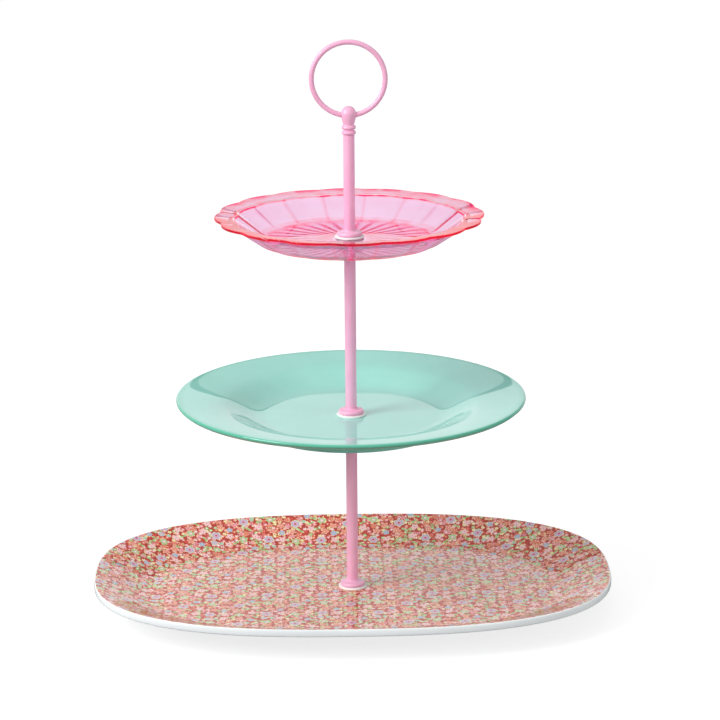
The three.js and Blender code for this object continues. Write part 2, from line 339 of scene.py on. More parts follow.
# ------------------------------------------------------------------ finishes
@dataclass(frozen=True)
class Finish:
    """What every finish shares: the record's slot and a cached material."""

    slot: str = ""
    title: str = ""

    def material(self) -> bpy.types.Material:
        """Builds the material once and gives it back after that."""
        known = bpy.data.materials.get(self.title)
        if known:
            return known
        material = bpy.data.materials.new(self.title)
        material.use_nodes = True
        tree = material.node_tree
        tree.nodes.clear()
        shader = add_node(tree, "ShaderNodeBsdfPrincipled")
        add_node(tree, "ShaderNodeOutputMaterial", {"Surface": shader.outputs["BSDF"]})
        place = add_node(tree, "ShaderNodeTexCoord").outputs["Object"]
        self.paint(tree, shader, place)
        return material

    def paint(self, tree: bpy.types.NodeTree, shader: bpy.types.Node, place: bpy.types.NodeSocket) -> None:
        """Adds the finish's own nodes.

        Args:
            tree: The material's tree.
            shader: Its Principled node.
            place: Object coordinates, in metres.
        """
        raise NotImplementedError

    @staticmethod
    def ripple(
        tree: bpy.types.NodeTree,
        shader: bpy.types.Node,
        place: bpy.types.NodeSocket,
        size_mm: float,
        height_mm: float,
        detail: float = 1.0,
    ) -> None:
        """Gives a surface a fine uneven skin.

        Args:
            tree: The material's tree.
            shader: The node whose Normal is filled.
            place: Object coordinates.
            size_mm: Distance from crest to crest.
            height_mm: Height of a crest.
            detail: Finer octaves in the noise.
        """
        noise = add_node(
            tree, "ShaderNodeTexNoise", {"Vector": place, "Scale": PER_MM / size_mm, "Detail": detail}
        )
        bump = add_node(
            tree, "ShaderNodeBump", {"Height": noise, "Strength": 1.0, "Distance": height_mm * MM}
        )
        tree.links.new(bump.outputs["Normal"], shader.inputs["Normal"])

    @staticmethod
    def mottle(
        tree: bpy.types.NodeTree,
        shader: bpy.types.Node,
        place: bpy.types.NodeSocket,
        size_mm: float,
        colours: tuple[str, str],
    ) -> None:
        """Lets the colour drift softly between two shades.

        Args:
            tree: The material's tree.
            shader: The node whose Base Color is filled.
            place: Object coordinates.
            size_mm: Size of a cloud.
            colours: The two shades.
        """
        cloud = add_node(
            tree, "ShaderNodeTexNoise", {"Vector": place, "Scale": PER_MM / size_mm, "Detail": 2.0}
        )
        ramp = add_node(tree, "ShaderNodeValToRGB", {"Fac": cloud})
        set_ramp(ramp, [(0.3, linear(colours[0])), (0.7, linear(colours[1]))])
        tree.links.new(ramp.outputs["Color"], shader.inputs["Base Color"])


@dataclass(frozen=True)
class Bloom:
    """One kind of printed flower, leaf or dot, in millimetres."""

    across: float
    petals: int
    lobing: float  # how deep the gaps between petals are, as a share of the radius
    count: int  # how many there are in one repeat
    eye: str
    ring: str
    petal: str
    rim: str


class BloomKind(Enum):
    """The flowers of the print, largest first."""

    LILAC = Bloom(7.2, 6, 0.12, 2, "8E2438", "F0A3B8", "BDB4CE", "DAD3E2")
    GREEN = Bloom(6.2, 6, 0.2, 2, "F9E6E6", "F1C4CE", "97C985", "CBE0A4")
    PERIWINKLE = Bloom(4.6, 5, 0.16, 2, "F0A4B4", "A6D8C0", "9CA8DA", "C6CCE6")
    BLUSH = Bloom(5.6, 5, 0.2, 4, "C63A3A", "FBE2E0", "F4B4C0", "F9D3D3")
    SALMON = Bloom(5.2, 5, 0.22, 4, "F8EAB8", "E2564A", "F09A8E", "F6BDAE")
    GREY = Bloom(4.4, 7, 0.1, 1, "E88696", "D3CEDA", "B4B7C8", "D2D3DC")
    LEAF = Bloom(4.6, 2, 0.5, 5, "7FB06A", "94C67C", "9ACB80", "D2E2A8")
    CORAL = Bloom(4.4, 5, 0.24, 4, "F8E2A8", "CE4238", "EC7766", "F4A58C")
    MINT = Bloom(3.4, 5, 0.2, 2, "F9F1E2", "79BEA6", "9FD2BB", "CDE4CC")
    ROSE = Bloom(3.8, 5, 0.24, 4, "FAEFC8", "D2486A", "F096AC", "F8C3C8")


@dataclass(frozen=True)
class PrintedMelamine(Finish):
    """Melamine moulded over a printed foil: a dense small-flower print under clear, glossy resin."""

    slot: str = "printed_melamine"
    title: str = "printed melamine, moulded"
    repeat: Point = (32.0, 30.0)
    outline: str = "F2E2A6"
    seed: int = 11

    def layout(self) -> list[tuple[Bloom, float, float, float]]:
        """Places the blooms over one repeat, each as far from the others as it can.

        Returns:
            Each bloom with its place in millimetres and its turn in radians.
        """
        draw = random.Random(self.seed)
        width, depth = self.repeat
        placed: list[tuple[Bloom, float, float, float]] = []
        for kind in BloomKind:
            bloom = kind.value
            for _ in range(bloom.count):
                best, best_gap = (0.0, 0.0), -1e9
                for _ in range(60):
                    x, y = draw.uniform(0, width), draw.uniform(0, depth)
                    gap = 1e9
                    for other, ox, oy, _ in placed:
                        dx = min(abs(x - ox), width - abs(x - ox))
                        dy = min(abs(y - oy), depth - abs(y - oy))
                        gap = min(gap, math.hypot(dx, dy) - (other.across + bloom.across) / 2)
                    if gap > best_gap:
                        best, best_gap = (x, y), gap
                placed.append((bloom, *best, draw.uniform(0, TURN)))
        return placed

    def paint(self, tree: bpy.types.NodeTree, shader: bpy.types.Node, place: bpy.types.NodeSocket) -> None:
        """Draws the ground, the filler flowers and then every bloom over the one before."""
        flat = add_node(
            tree, "ShaderNodeVectorMath", {0: place, 1: (PER_MM, PER_MM, 0.0)}, operation="MULTIPLY"
        )
        # the hand-drawn outlines wander by a fifth of a millimetre
        wander = add_node(tree, "ShaderNodeTexNoise", {"Vector": flat, "Scale": 0.45})
        sway = add_node(
            tree,
            "ShaderNodeVectorMath",
            {0: wander.outputs["Color"], 1: (0.9, 0.9, 0.0), 2: flat},
            operation="MULTIPLY_ADD",
        )
        colour = self.ground(tree, sway.outputs[0])
        for bloom, x, y, turn in self.layout():
            colour = self.draw_bloom(tree, sway.outputs[0], colour, bloom, (x, y), turn)
        tree.links.new(colour, shader.inputs["Base Color"])
        shader.inputs["Roughness"].default_value = 0.05
        shader.inputs["IOR"].default_value = 1.55
        self.ripple(tree, shader, place, 14.0, 0.002)

    @staticmethod
    def petal_share(
        tree: bpy.types.NodeTree,
        off: bpy.types.Node,
        petals: float,
        turn: float,
        swing: float,
        middle: float,
    ) -> bpy.types.Node:
        """Distance from a flower's centre, as a share of its wavy outline.

        Args:
            tree: The material's tree.
            off: The node that gives the offset from the flower's centre, in millimetres.
            petals: Number of petals.
            turn: How far the flower is turned.
            swing: How far the outline swings in and out.
            middle: Mean radius of the outline.

        Returns:
            The node that gives the share.
        """
        axes = add_node(tree, "ShaderNodeSeparateXYZ", {0: off})
        rise_and_run = {0: axes.outputs["Y"], 1: axes.outputs["X"]}
        angle = add_node(tree, "ShaderNodeMath", rise_and_run, operation="ARCTAN2")
        reach = add_node(tree, "ShaderNodeVectorMath", {0: off}, operation="LENGTH")
        phase = add_node(tree, "ShaderNodeMath", {0: angle, 1: petals, 2: turn}, operation="MULTIPLY_ADD")
        wave = add_node(tree, "ShaderNodeMath", {0: phase}, operation="COSINE")
        edge = add_node(tree, "ShaderNodeMath", {0: wave, 1: swing, 2: middle}, operation="MULTIPLY_ADD")
        return add_node(tree, "ShaderNodeMath", {0: reach.outputs["Value"], 1: edge}, operation="DIVIDE")

    def ground(self, tree: bpy.types.NodeTree, spot: bpy.types.NodeSocket) -> bpy.types.NodeSocket:
        """Red ground with a filler of tiny five-petalled flowers.

        Args:
            tree: The material's tree.
            spot: The place on the print, in millimetres.

        Returns:
            The colour of the ground.
        """
        cells = add_node(
            tree,
            "ShaderNodeTexVoronoi",
            {"Vector": spot, "Scale": 0.36, "Randomness": 0.75},
            voronoi_dimensions="2D",
        )
        off = add_node(
            tree, "ShaderNodeVectorMath", {0: spot, 1: cells.outputs["Position"]}, operation="SUBTRACT"
        )
        share = self.petal_share(tree, off, 5.0, 0.0, 0.26, 1.16)
        tint = add_node(tree, "ShaderNodeSeparateXYZ", {0: cells.outputs["Color"]})
        petal = add_node(tree, "ShaderNodeValToRGB", {"Fac": tint.outputs["X"]})
        shades = ["EE7F6A", "F6C6C8", "DC4F3E", "F29CA6", "A6CB88", "F2E0A4", "D9655A", "F3B09C"]
        set_ramp(petal, [(i / len(shades), linear(s)) for i, s in enumerate(shades)], "CONSTANT")
        heart = add_node(tree, "ShaderNodeValToRGB", {"Fac": tint.outputs["Y"]})
        hearts = ["F8EFD8", "B5303A", "F5DE9E", "FFFFFF"]
        set_ramp(heart, [(i / len(hearts), linear(s)) for i, s in enumerate(hearts)], "CONSTANT")
        inner = add_node(tree, "ShaderNodeMath", {0: share, 1: 0.34}, operation="LESS_THAN")
        outer = add_node(tree, "ShaderNodeMath", {0: share, 1: 1.0}, operation="LESS_THAN")
        patch = add_node(tree, "ShaderNodeTexNoise", {"Vector": spot, "Scale": 0.5})
        red = add_node(tree, "ShaderNodeValToRGB", {"Fac": patch})
        set_ramp(red, [(0.42, linear("A8261A")), (0.58, linear("C03A2C"))])
        flower = add_node(
            tree,
            "ShaderNodeMix",
            {0: outer, 6: red.outputs["Color"], 7: petal.outputs["Color"]},
            data_type="RGBA",
        )
        return add_node(
            tree,
            "ShaderNodeMix",
            {0: inner, 6: flower.outputs[2], 7: heart.outputs["Color"]},
            data_type="RGBA",
        ).outputs[2]

    def draw_bloom(
        self,
        tree: bpy.types.NodeTree,
        spot: bpy.types.NodeSocket,
        under: bpy.types.NodeSocket,
        bloom: Bloom,
        centre: Point,
        turn: float,
    ) -> bpy.types.NodeSocket:
        """Draws one bloom in every repeat of the print.

        Args:
            tree: The material's tree.
            spot: The place on the print, in millimetres.
            under: The colour below.
            bloom: The kind of flower.
            centre: Its place in the repeat.
            turn: How far it is turned.

        Returns:
            The colour with the bloom on it.
        """
        half = (self.repeat[0] / 2, self.repeat[1] / 2, 1.0)
        radius = bloom.across / 2
        off = add_node(tree, "ShaderNodeVectorMath", {0: spot, 1: (*centre, 0.0)}, operation="SUBTRACT")
        local = add_node(
            tree, "ShaderNodeVectorMath", {0: off, 1: half, 2: tuple(-h for h in half)}, operation="WRAP"
        )
        swing = radius * bloom.lobing
        share = self.petal_share(tree, local, float(bloom.petals), turn, swing, radius * (1 - bloom.lobing))
        ramp = add_node(tree, "ShaderNodeValToRGB", {"Fac": share})
        set_ramp(
            ramp,
            [
                (0.16, linear(bloom.eye)),
                (0.24, linear(bloom.ring)),
                (0.4, linear(bloom.ring)),
                (0.48, linear(bloom.petal)),
                (0.76, linear(bloom.petal)),
                (0.82, linear(bloom.rim)),
                (0.93, linear(self.outline)),
                (1.0, (*linear(self.outline)[:3], 0.0)),
            ],
        )
        return add_node(
            tree,
            "ShaderNodeMix",
            {0: ramp.outputs["Alpha"], 6: under, 7: ramp.outputs["Color"]},
            data_type="RGBA",
        ).outputs[2]


@dataclass(frozen=True)
class PlainMelamine(Finish):
    """Melamine moulded against a polished tool: hard, glossy and evenly coloured all through."""

    slot: str = "printed_melamine"
    title: str = "white melamine, moulded"
    shades: tuple[str, str] = ("EDF1F3", "F1F5F6")
    gloss: float = 0.08
    # the darker colour that paints shade on the lip and underside
    painted_shade_colour: str = "EDF1F3"

    def paint(self, tree: bpy.types.NodeTree, shader: bpy.types.Node, place: bpy.types.NodeSocket) -> None:
        """Nearly even colour, with painted shade that darkens the lip and underside, and a faintly wavy
        surface.
        """
        self.mottle(tree, shader, place, 30.0, self.shades)
        body = shader.inputs["Base Color"].links[0].from_socket
        # painted shade: a point weight mixes the darker colour into the lip and underside
        painted_weight = add_node(tree, "ShaderNodeAttribute", attribute_name="painted_shade_share")
        painted_shade_mix = add_node(
            tree,
            "ShaderNodeMix",
            {0: painted_weight.outputs["Fac"], 6: body, 7: linear(self.painted_shade_colour)},
            data_type="RGBA",
        )
        tree.links.new(painted_shade_mix.outputs[2], shader.inputs["Base Color"])
        shader.inputs["Roughness"].default_value = self.gloss
        shader.inputs["IOR"].default_value = 1.55
        self.ripple(tree, shader, place, 16.0, 0.0015)


@dataclass(frozen=True)
class TintedAcrylic(Finish):
    """Injection-moulded acrylic, dyed pink: clear where it is thin, with crimson light painted where light
    runs along it and a painted glow.
    """

    slot: str = "clear_pink_acrylic"
    title: str = "pink acrylic, injection moulded"
    absorbed_per_m: float = 100.0
    patch_mm: float = 9.0
    # clear is the dish's own tint; magenta and crimson are painted light, along the rays and the edges;
    # glow colours a painted glow
    clear: str = "F3EFFB"
    magenta: str = "D830A8"
    crimson: str = "D6044A"
    glow: str = "F81C50"
    painted_edge_glow: float = 0.28
    painted_body_glow: float = 0.02

    def paint(self, tree: bpy.types.NodeTree, shader: bpy.types.Node, place: bpy.types.NodeSocket) -> None:
        """Clear glossy surface over a body that swallows green; painted light gathers in edges and rays, as
        crimson and magenta colour and a red glow.
        """
        # painted light: the gather weight, broken up by noise, marks where crimson light is painted
        gather = add_node(tree, "ShaderNodeAttribute", attribute_name="gather")
        patch = add_node(
            tree, "ShaderNodeTexNoise", {"Vector": place, "Scale": PER_MM / self.patch_mm, "Detail": 1.0}
        )
        uneven = add_node(
            tree,
            "ShaderNodeMapRange",
            {"Value": patch, "From Min": 0.35, "From Max": 0.65, "To Min": 0.55, "To Max": 1.2},
        )
        edge = add_node(
            tree,
            "ShaderNodeMath",
            {0: gather.outputs["Fac"], 1: uneven},
            operation="MULTIPLY",
            use_clamp=True,
        )
        # painted light: magenta streaks painted along the pressed rays of the floor
        ray = add_node(tree, "ShaderNodeAttribute", attribute_name="ray")
        rayed = add_node(
            tree,
            "ShaderNodeMix",
            {0: ray.outputs["Fac"], 6: linear(self.clear), 7: linear(self.magenta)},
            data_type="RGBA",
        )
        tinted = add_node(
            tree,
            "ShaderNodeMix",
            {0: edge, 6: rayed.outputs[2], 7: linear(self.crimson)},
            data_type="RGBA",
        )
        tree.links.new(tinted.outputs[2], shader.inputs["Base Color"])
        # painted glow: red emission where the painted edge light is strongest, standing for light run far
        # inside the walls, and faintly all over
        bright = add_node(tree, "ShaderNodeMath", {0: edge, 1: 1.5}, operation="POWER")
        glow = add_node(
            tree,
            "ShaderNodeMath",
            {0: bright, 1: self.painted_edge_glow, 2: self.painted_body_glow},
            operation="MULTIPLY_ADD",
        )
        tree.links.new(glow.outputs[0], shader.inputs["Emission Strength"])
        shader.inputs["Emission Color"].default_value = linear(self.glow)
        shader.inputs["Transmission Weight"].default_value = 1.0
        shader.inputs["Roughness"].default_value = 0.02
        shader.inputs["IOR"].default_value = 1.49
        body = add_node(
            tree,
            "ShaderNodeVolumeAbsorption",
            {"Color": (0.9, 0.0, 0.56, 1.0), "Density": self.absorbed_per_m},
        )
        output = next(n for n in tree.nodes if n.bl_idname == "ShaderNodeOutputMaterial")
        tree.links.new(body.outputs[0], output.inputs["Volume"])
        self.ripple(tree, shader, place, 18.0, 0.01)


@dataclass(frozen=True)
class PowderCoat(Finish):
    """Polyester powder baked on steel: an even satin gloss with a barely visible orange peel."""

    slot: str = "pink_powder_coat"
    title: str = "pink polyester powder coat, baked"

    def paint(self, tree: bpy.types.NodeTree, shader: bpy.types.Node, place: bpy.types.NodeSocket) -> None:
        """Satin pink with a clear top layer."""
        self.mottle(tree, shader, place, 12.0, ("F3AFCF", "F6B9D6"))
        shader.inputs["Roughness"].default_value = 0.34
        shader.inputs["Coat Weight"].default_value = 0.35
        shader.inputs["Coat Roughness"].default_value = 0.12
        self.ripple(tree, shader, place, 0.9, 0.006)


@dataclass(frozen=True)
class MouldedNylon(Finish):
    """White nylon washer, moulded: soft white, slightly waxy, with light bleeding in at the edge."""

    slot: str = "white_nylon"
    title: str = "white nylon, moulded"

    def paint(self, tree: bpy.types.NodeTree, shader: bpy.types.Node, place: bpy.types.NodeSocket) -> None:
        """Waxy white with a fine moulded grain."""
        self.mottle(tree, shader, place, 6.0, ("F6F5F2", "FBFAF8"))
        shader.inputs["Roughness"].default_value = 0.38
        shader.inputs["Subsurface Weight"].default_value = 0.15
        shader.inputs["Subsurface Radius"].default_value = (1.0, 0.9, 0.8)
        shader.inputs["Subsurface Scale"].default_value = 0.0006
        self.ripple(tree, shader, place, 0.5, 0.008)


@dataclass(frozen=True)
class SoftRubber(Finish):
    """Pale silicone rubber, cut from sheet: matt, with a fine dusty grain."""

    slot: str = "rubber"
    title: str = "silicone rubber, cut sheet"

    def paint(self, tree: bpy.types.NodeTree, shader: bpy.types.Node, place: bpy.types.NodeSocket) -> None:
        """Matt grey-white with specks of dust."""
        self.mottle(tree, shader, place, 1.5, ("D9D6CE", "E4E1DA"))
        shader.inputs["Roughness"].default_value = 0.78
        self.ripple(tree, shader, place, 0.4, 0.02, 3.0)


@dataclass(frozen=True)
class TurnedMetal(Finish):
    """Bare metal turned on a lathe: fine rings left by the tool, cut every quarter millimetre."""

    slot: str = "steel"
    title: str = "zinc-plated steel, turned"
    shades: tuple[str, str] = ("B4B8BE", "C8CBCF")
    polish: float = 0.3

    def paint(self, tree: bpy.types.NodeTree, shader: bpy.types.Node, place: bpy.types.NodeSocket) -> None:
        """Metal with tool rings up its length and a drifting shade."""
        self.mottle(tree, shader, place, 3.0, self.shades)
        shader.inputs["Metallic"].default_value = 1.0
        shader.inputs["Roughness"].default_value = self.polish
        rings = add_node(
            tree,
            "ShaderNodeTexWave",
            {"Vector": place, "Scale": PER_MM / (0.25 * 20), "Distortion": 0.4},
            bands_direction="Z",
        )
        bump = add_node(
            tree, "ShaderNodeBump", {"Height": rings.outputs["Fac"], "Strength": 0.6, "Distance": 0.01 * MM}
        )
        tree.links.new(bump.outputs["Normal"], shader.inputs["Normal"])


PRINT = PrintedMelamine()
WHITE_MELAMINE = PlainMelamine()
# the mint plate's painted shade on the lip and underside is a deeper green
MINT_MELAMINE = PlainMelamine(
    "mint_melamine", "mint melamine, moulded", ("97DBCD", "9CE0D2"), gloss=0.015, painted_shade_colour="5DB79B"
)
ACRYLIC = TintedAcrylic()
PINK = PowderCoat()
NYLON = MouldedNylon()
RUBBER = SoftRubber()
STEEL = TurnedMetal()
BRASS = TurnedMetal("brass", "brass, turned", ("C29A4E", "D0AC62"), 0.26)


# ------------------------------------------------------------------ shaping trees
class ShapingTree:
    """What both Geometry Nodes trees share: sockets, polar coordinates and the way out."""

    def __init__(self, title: str, sizes: dict[str, float]) -> None:
        """Starts the tree.

        Args:
            title: Name of the tree.
            sizes: Named number inputs, with their defaults.
        """
        self.tree = bpy.data.node_groups.new(title, "GeometryNodeTree")
        face = self.tree.interface
        face.new_socket("Geometry", in_out="INPUT", socket_type="NodeSocketGeometry")
        for name, value in sizes.items():
            face.new_socket(name, in_out="INPUT", socket_type="NodeSocketFloat").default_value = value
        face.new_socket("Material", in_out="INPUT", socket_type="NodeSocketMaterial")
        face.new_socket("Geometry", in_out="OUTPUT", socket_type="NodeSocketGeometry")
        self.start = add_node(self.tree, "NodeGroupInput")
        where = add_node(self.tree, "GeometryNodeInputPosition")
        self.axes = add_node(self.tree, "ShaderNodeSeparateXYZ", {0: where})
        self.angle = add_node(
            self.tree,
            "ShaderNodeMath",
            {0: self.axes.outputs["Y"], 1: self.axes.outputs["X"]},
            operation="ARCTAN2",
        ).outputs[0]
        level = add_node(
            self.tree, "ShaderNodeCombineXYZ", {"X": self.axes.outputs["X"], "Y": self.axes.outputs["Y"]}
        )
        self.outwards = add_node(
            self.tree, "ShaderNodeVectorMath", {0: level}, operation="NORMALIZE"
        ).outputs[0]

    def weight(self, name: str) -> bpy.types.NodeSocket:
        """Reads a point weight of the mesh."""
        node = add_node(self.tree, "GeometryNodeInputNamedAttribute", {"Name": name}, data_type="FLOAT")
        return node.outputs["Attribute"]

    def finish(
        self,
        inwards: bpy.types.NodeSocket,
        down: bpy.types.NodeSocket | None = None,
        marks: dict[str, bpy.types.NodeSocket] | None = None,
    ) -> None:
        """Moves the points and ends the tree.

        Args:
            inwards: How far each point moves towards the axis.
            down: How far each point sinks.
            marks: Values to keep as point attributes, by name.
        """
        shape = self.start.outputs["Geometry"]
        for name, value in (marks or {}).items():
            shape = add_node(
                self.tree,
                "GeometryNodeStoreNamedAttribute",
                {"Geometry": shape, "Name": name, "Value": value},
                data_type="FLOAT",
                domain="POINT",
            ).outputs[0]
        back = add_node(self.tree, "ShaderNodeMath", {0: inwards, 1: -1.0}, operation="MULTIPLY")
        move = add_node(
            self.tree, "ShaderNodeVectorMath", {0: self.outwards, "Scale": back}, operation="SCALE"
        )
        if down is not None:
            sink = add_node(self.tree, "ShaderNodeMath", {0: down, 1: -1.0}, operation="MULTIPLY")
            drop = add_node(self.tree, "ShaderNodeCombineXYZ", {"Z": sink})
            move = add_node(self.tree, "ShaderNodeVectorMath", {0: move, 1: drop}, operation="ADD")
        moved = add_node(self.tree, "GeometryNodeSetPosition", {"Geometry": shape, "Offset": move})
        real = add_node(self.tree, "GeometryNodeRealizeInstances", {0: moved})
        painted = add_node(
            self.tree,
            "GeometryNodeSetMaterial",
            {"Geometry": real, "Material": self.start.outputs["Material"]},
        )
        add_node(self.tree, "NodeGroupOutput", {0: painted})


def flute_tree() -> bpy.types.NodeTree:
    """Presses arched flutes round the axis: weights "scallop" and "relief" say how deep, in metres.

    Weights "rim_light" and "rib_light" say where painted light gathers: along a ring, or along the notches.
    The relief has two rays to a flute.

    Returns:
        The tree, with the inputs Count and Phase (of a notch, in radians).
    """
    known = bpy.data.node_groups.get("arched flutes")
    if known:
        return known
    build = ShapingTree("arched flutes", {"Count": 16.0, "Phase": 0.0})
    tree = build.tree
    past = add_node(
        tree, "ShaderNodeMath", {0: build.angle, 1: build.start.outputs["Phase"]}, operation="SUBTRACT"
    )
    half = add_node(tree, "ShaderNodeMath", {0: build.start.outputs["Count"], 1: 0.5}, operation="MULTIPLY")
    turns = add_node(tree, "ShaderNodeMath", {0: past, 1: half}, operation="MULTIPLY")
    wave = add_node(tree, "ShaderNodeMath", {0: turns}, operation="SINE")
    arch = add_node(tree, "ShaderNodeMath", {0: wave}, operation="ABSOLUTE")
    notch = add_node(tree, "ShaderNodeMath", {0: 1.0, 1: arch}, operation="SUBTRACT")
    inwards = add_node(tree, "ShaderNodeMath", {0: notch, 1: build.weight("scallop")}, operation="MULTIPLY")
    double = add_node(tree, "ShaderNodeMath", {0: turns, 1: 2.0}, operation="MULTIPLY")
    swing = add_node(tree, "ShaderNodeMath", {0: double}, operation="SINE")
    ridge = add_node(tree, "ShaderNodeMath", {0: swing}, operation="ABSOLUTE")
    down = add_node(tree, "ShaderNodeMath", {0: ridge, 1: build.weight("relief")}, operation="MULTIPLY")
    # painted light: gather and ray tell the acrylic where to paint crimson light and magenta rays
    narrow = add_node(tree, "ShaderNodeMath", {0: notch, 1: 20.0}, operation="POWER")
    gather = add_node(
        tree,
        "ShaderNodeMath",
        {0: narrow, 1: build.weight("rib_light"), 2: build.weight("rim_light")},
        operation="MULTIPLY_ADD",
    )
    groove = add_node(tree, "ShaderNodeMath", {0: 1.0, 1: ridge}, operation="SUBTRACT")
    painted_weight = add_node(tree, "ShaderNodeMath", {0: groove, 1: 1.6}, operation="POWER")
    ray = add_node(tree, "ShaderNodeMath", {0: painted_weight, 1: build.weight("ray_light")}, operation="MULTIPLY")
    marks = {"gather": gather, "ray": ray}
    build.finish(inwards.outputs[0], down.outputs[0], marks)
    return tree


def thread_tree() -> bpy.types.NodeTree:
    """Cuts a screw thread wherever the weight "thread" is 1.

    Returns:
        The tree, with the inputs Pitch and Depth, in metres.
    """
    known = bpy.data.node_groups.get("screw thread")
    if known:
        return known
    build = ShapingTree("screw thread", {"Pitch": 0.7 * MM, "Depth": 0.43 * MM})
    tree = build.tree
    climb = add_node(
        tree,
        "ShaderNodeMath",
        {0: build.axes.outputs["Z"], 1: build.start.outputs["Pitch"]},
        operation="DIVIDE",
    )
    share = add_node(tree, "ShaderNodeMath", {0: build.angle, 1: TURN}, operation="DIVIDE")
    helix = add_node(tree, "ShaderNodeMath", {0: climb, 1: share}, operation="SUBTRACT")
    twice = add_node(tree, "ShaderNodeMath", {0: helix, 1: 2.0}, operation="MULTIPLY")
    flank = add_node(tree, "ShaderNodeMath", {0: twice, 1: 1.0}, operation="PINGPONG")
    crest = add_node(tree, "ShaderNodeMapRange", {"Value": flank, "From Min": 0.12, "From Max": 0.9})
    cut = add_node(
        tree, "ShaderNodeMath", {0: crest, 1: build.start.outputs["Depth"]}, operation="MULTIPLY"
    )
    inwards = add_node(tree, "ShaderNodeMath", {0: cut, 1: build.weight("thread")}, operation="MULTIPLY")
    build.finish(inwards.outputs[0])
    return tree


# ------------------------------------------------------------------ tiers
@dataclass
class Tray:
    """The oblong bottom tray: printed face, white band round the rim, moulded foot ring."""

    squareness: float = 2.6
    wall_run: float = 36 * MM
    wall_curve: float = 0.45
    band_height: float = 4.6 * MM
    band_round: float = 1.2 * MM
    foot_inset: float = 42.5 * MM
    foot_width: float = 3.5 * MM
    hole: float = 2.5 * MM
    around: int = 240
    wall_steps: int = 18
    well_steps: int = 10

    def ring(self, inset: float, height: float) -> Ring:
        """Evenly spaced points round the tray's outline.

        Args:
            inset: Distance in from the rim.
            height: Height of the ring.

        Returns:
            The ring.
        """
        low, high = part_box("tray")
        half_length = (high.x - low.x) / 2 - inset
        half_width = (high.y - low.y) / 2 - inset
        power = 2 / self.squareness
        fine = []
        for i in range(8 * self.around):
            angle = TURN * i / (8 * self.around)
            c, s = math.cos(angle), math.sin(angle)
            x = math.copysign(abs(c) ** power, c) * half_length
            y = math.copysign(abs(s) ** power, s) * half_width
            fine.append(Vector((x, y, height)))
        lengths = [0.0]
        for here, there in zip(fine, fine[1:] + fine[:1]):
            lengths.append(lengths[-1] + (there - here).length)
        ring: Ring = []
        k = 0
        for i in range(self.around):
            wanted = lengths[-1] * i / self.around
            while lengths[k + 1] < wanted:
                k += 1
            share = (wanted - lengths[k]) / (lengths[k + 1] - lengths[k])
            ring.append(fine[k].lerp(fine[(k + 1) % len(fine)], share))
        return ring

    def towards_hole(self, edge: Ring) -> list[Ring]:
        """Rings that carry an oval edge over into the round hole, from the hole outwards."""
        height = edge[0].z
        hole = [Vector((p.x, p.y, 0)).normalized() * self.hole + Vector((0, 0, height)) for p in edge]
        shares = [(k / self.well_steps) for k in range(self.well_steps)]
        return [[a.lerp(b, t) for a, b in zip(hole, edge)] for t in shares]

    def build(self) -> None:
        """Lofts the tray, printed above and white below."""
        top = Span.of("tray_washer").bottom
        under = Span.of("base_rubber_washer").top
        rim = Span.of("tray").top
        floor = Span.of("tray").bottom
        depth = rim - top
        shares = [(k + 1) / self.wall_steps for k in range(self.wall_steps - 1)]
        face = self.towards_hole(self.ring(self.wall_run, top))
        face.append(self.ring(self.wall_run, top))
        for u in shares:
            inset = self.band_round + (self.wall_run - self.band_round) * (1 - u)
            face.append(self.ring(inset, top + depth * wall_rise(u, self.wall_curve)))
        band = rounded(
            [
                (3 * self.band_round, rim - 0.9 * MM, 0),
                (self.band_round * 0.25, rim, 1.3 * MM),
                (0.0, rim - 2.2 * MM, 0),
                (0.1 * MM, rim - self.band_height, 1.0 * MM),
                (3 * self.band_round, rim - self.band_height - 0.3 * MM, 0),
            ],
            7,
        )[1:]
        edge = [self.ring(inset, z) for inset, z in band]
        below = []
        for u in reversed(shares[:-2]):
            inset = self.band_round + self.wall_run * (1 - u)
            below.append(self.ring(inset, under + depth * wall_rise(u, self.wall_curve)))
        below.append(self.ring(self.wall_run + self.band_round, under))
        foot = rounded(
            [
                (self.foot_inset - 2 * MM, under, 0),
                (self.foot_inset, under, 1.5 * MM),
                (self.foot_inset + 0.3 * MM, floor, 1.1 * MM),
                (self.foot_inset + self.foot_width, floor, 1.1 * MM),
                (self.foot_inset + self.foot_width + 0.5 * MM, under, 1.5 * MM),
                (self.foot_inset + self.foot_width + 3 * MM, under, 0),
            ]
        )
        below += [self.ring(inset, z) for inset, z in foot]
        below += reversed(self.towards_hole(below[-1]))
        rings = face + edge + below
        printed = len(face) + 2
        bands = [0 if k < printed else 1 for k in range(len(rings) - 1)] + [1]
        tray = skin("tray_moulding", rings, bands=bands)
        tray.data.materials.append(PRINT.material())
        tray.data.materials.append(WHITE_MELAMINE.material())
        stand_in(tray, "tray", PRINT)


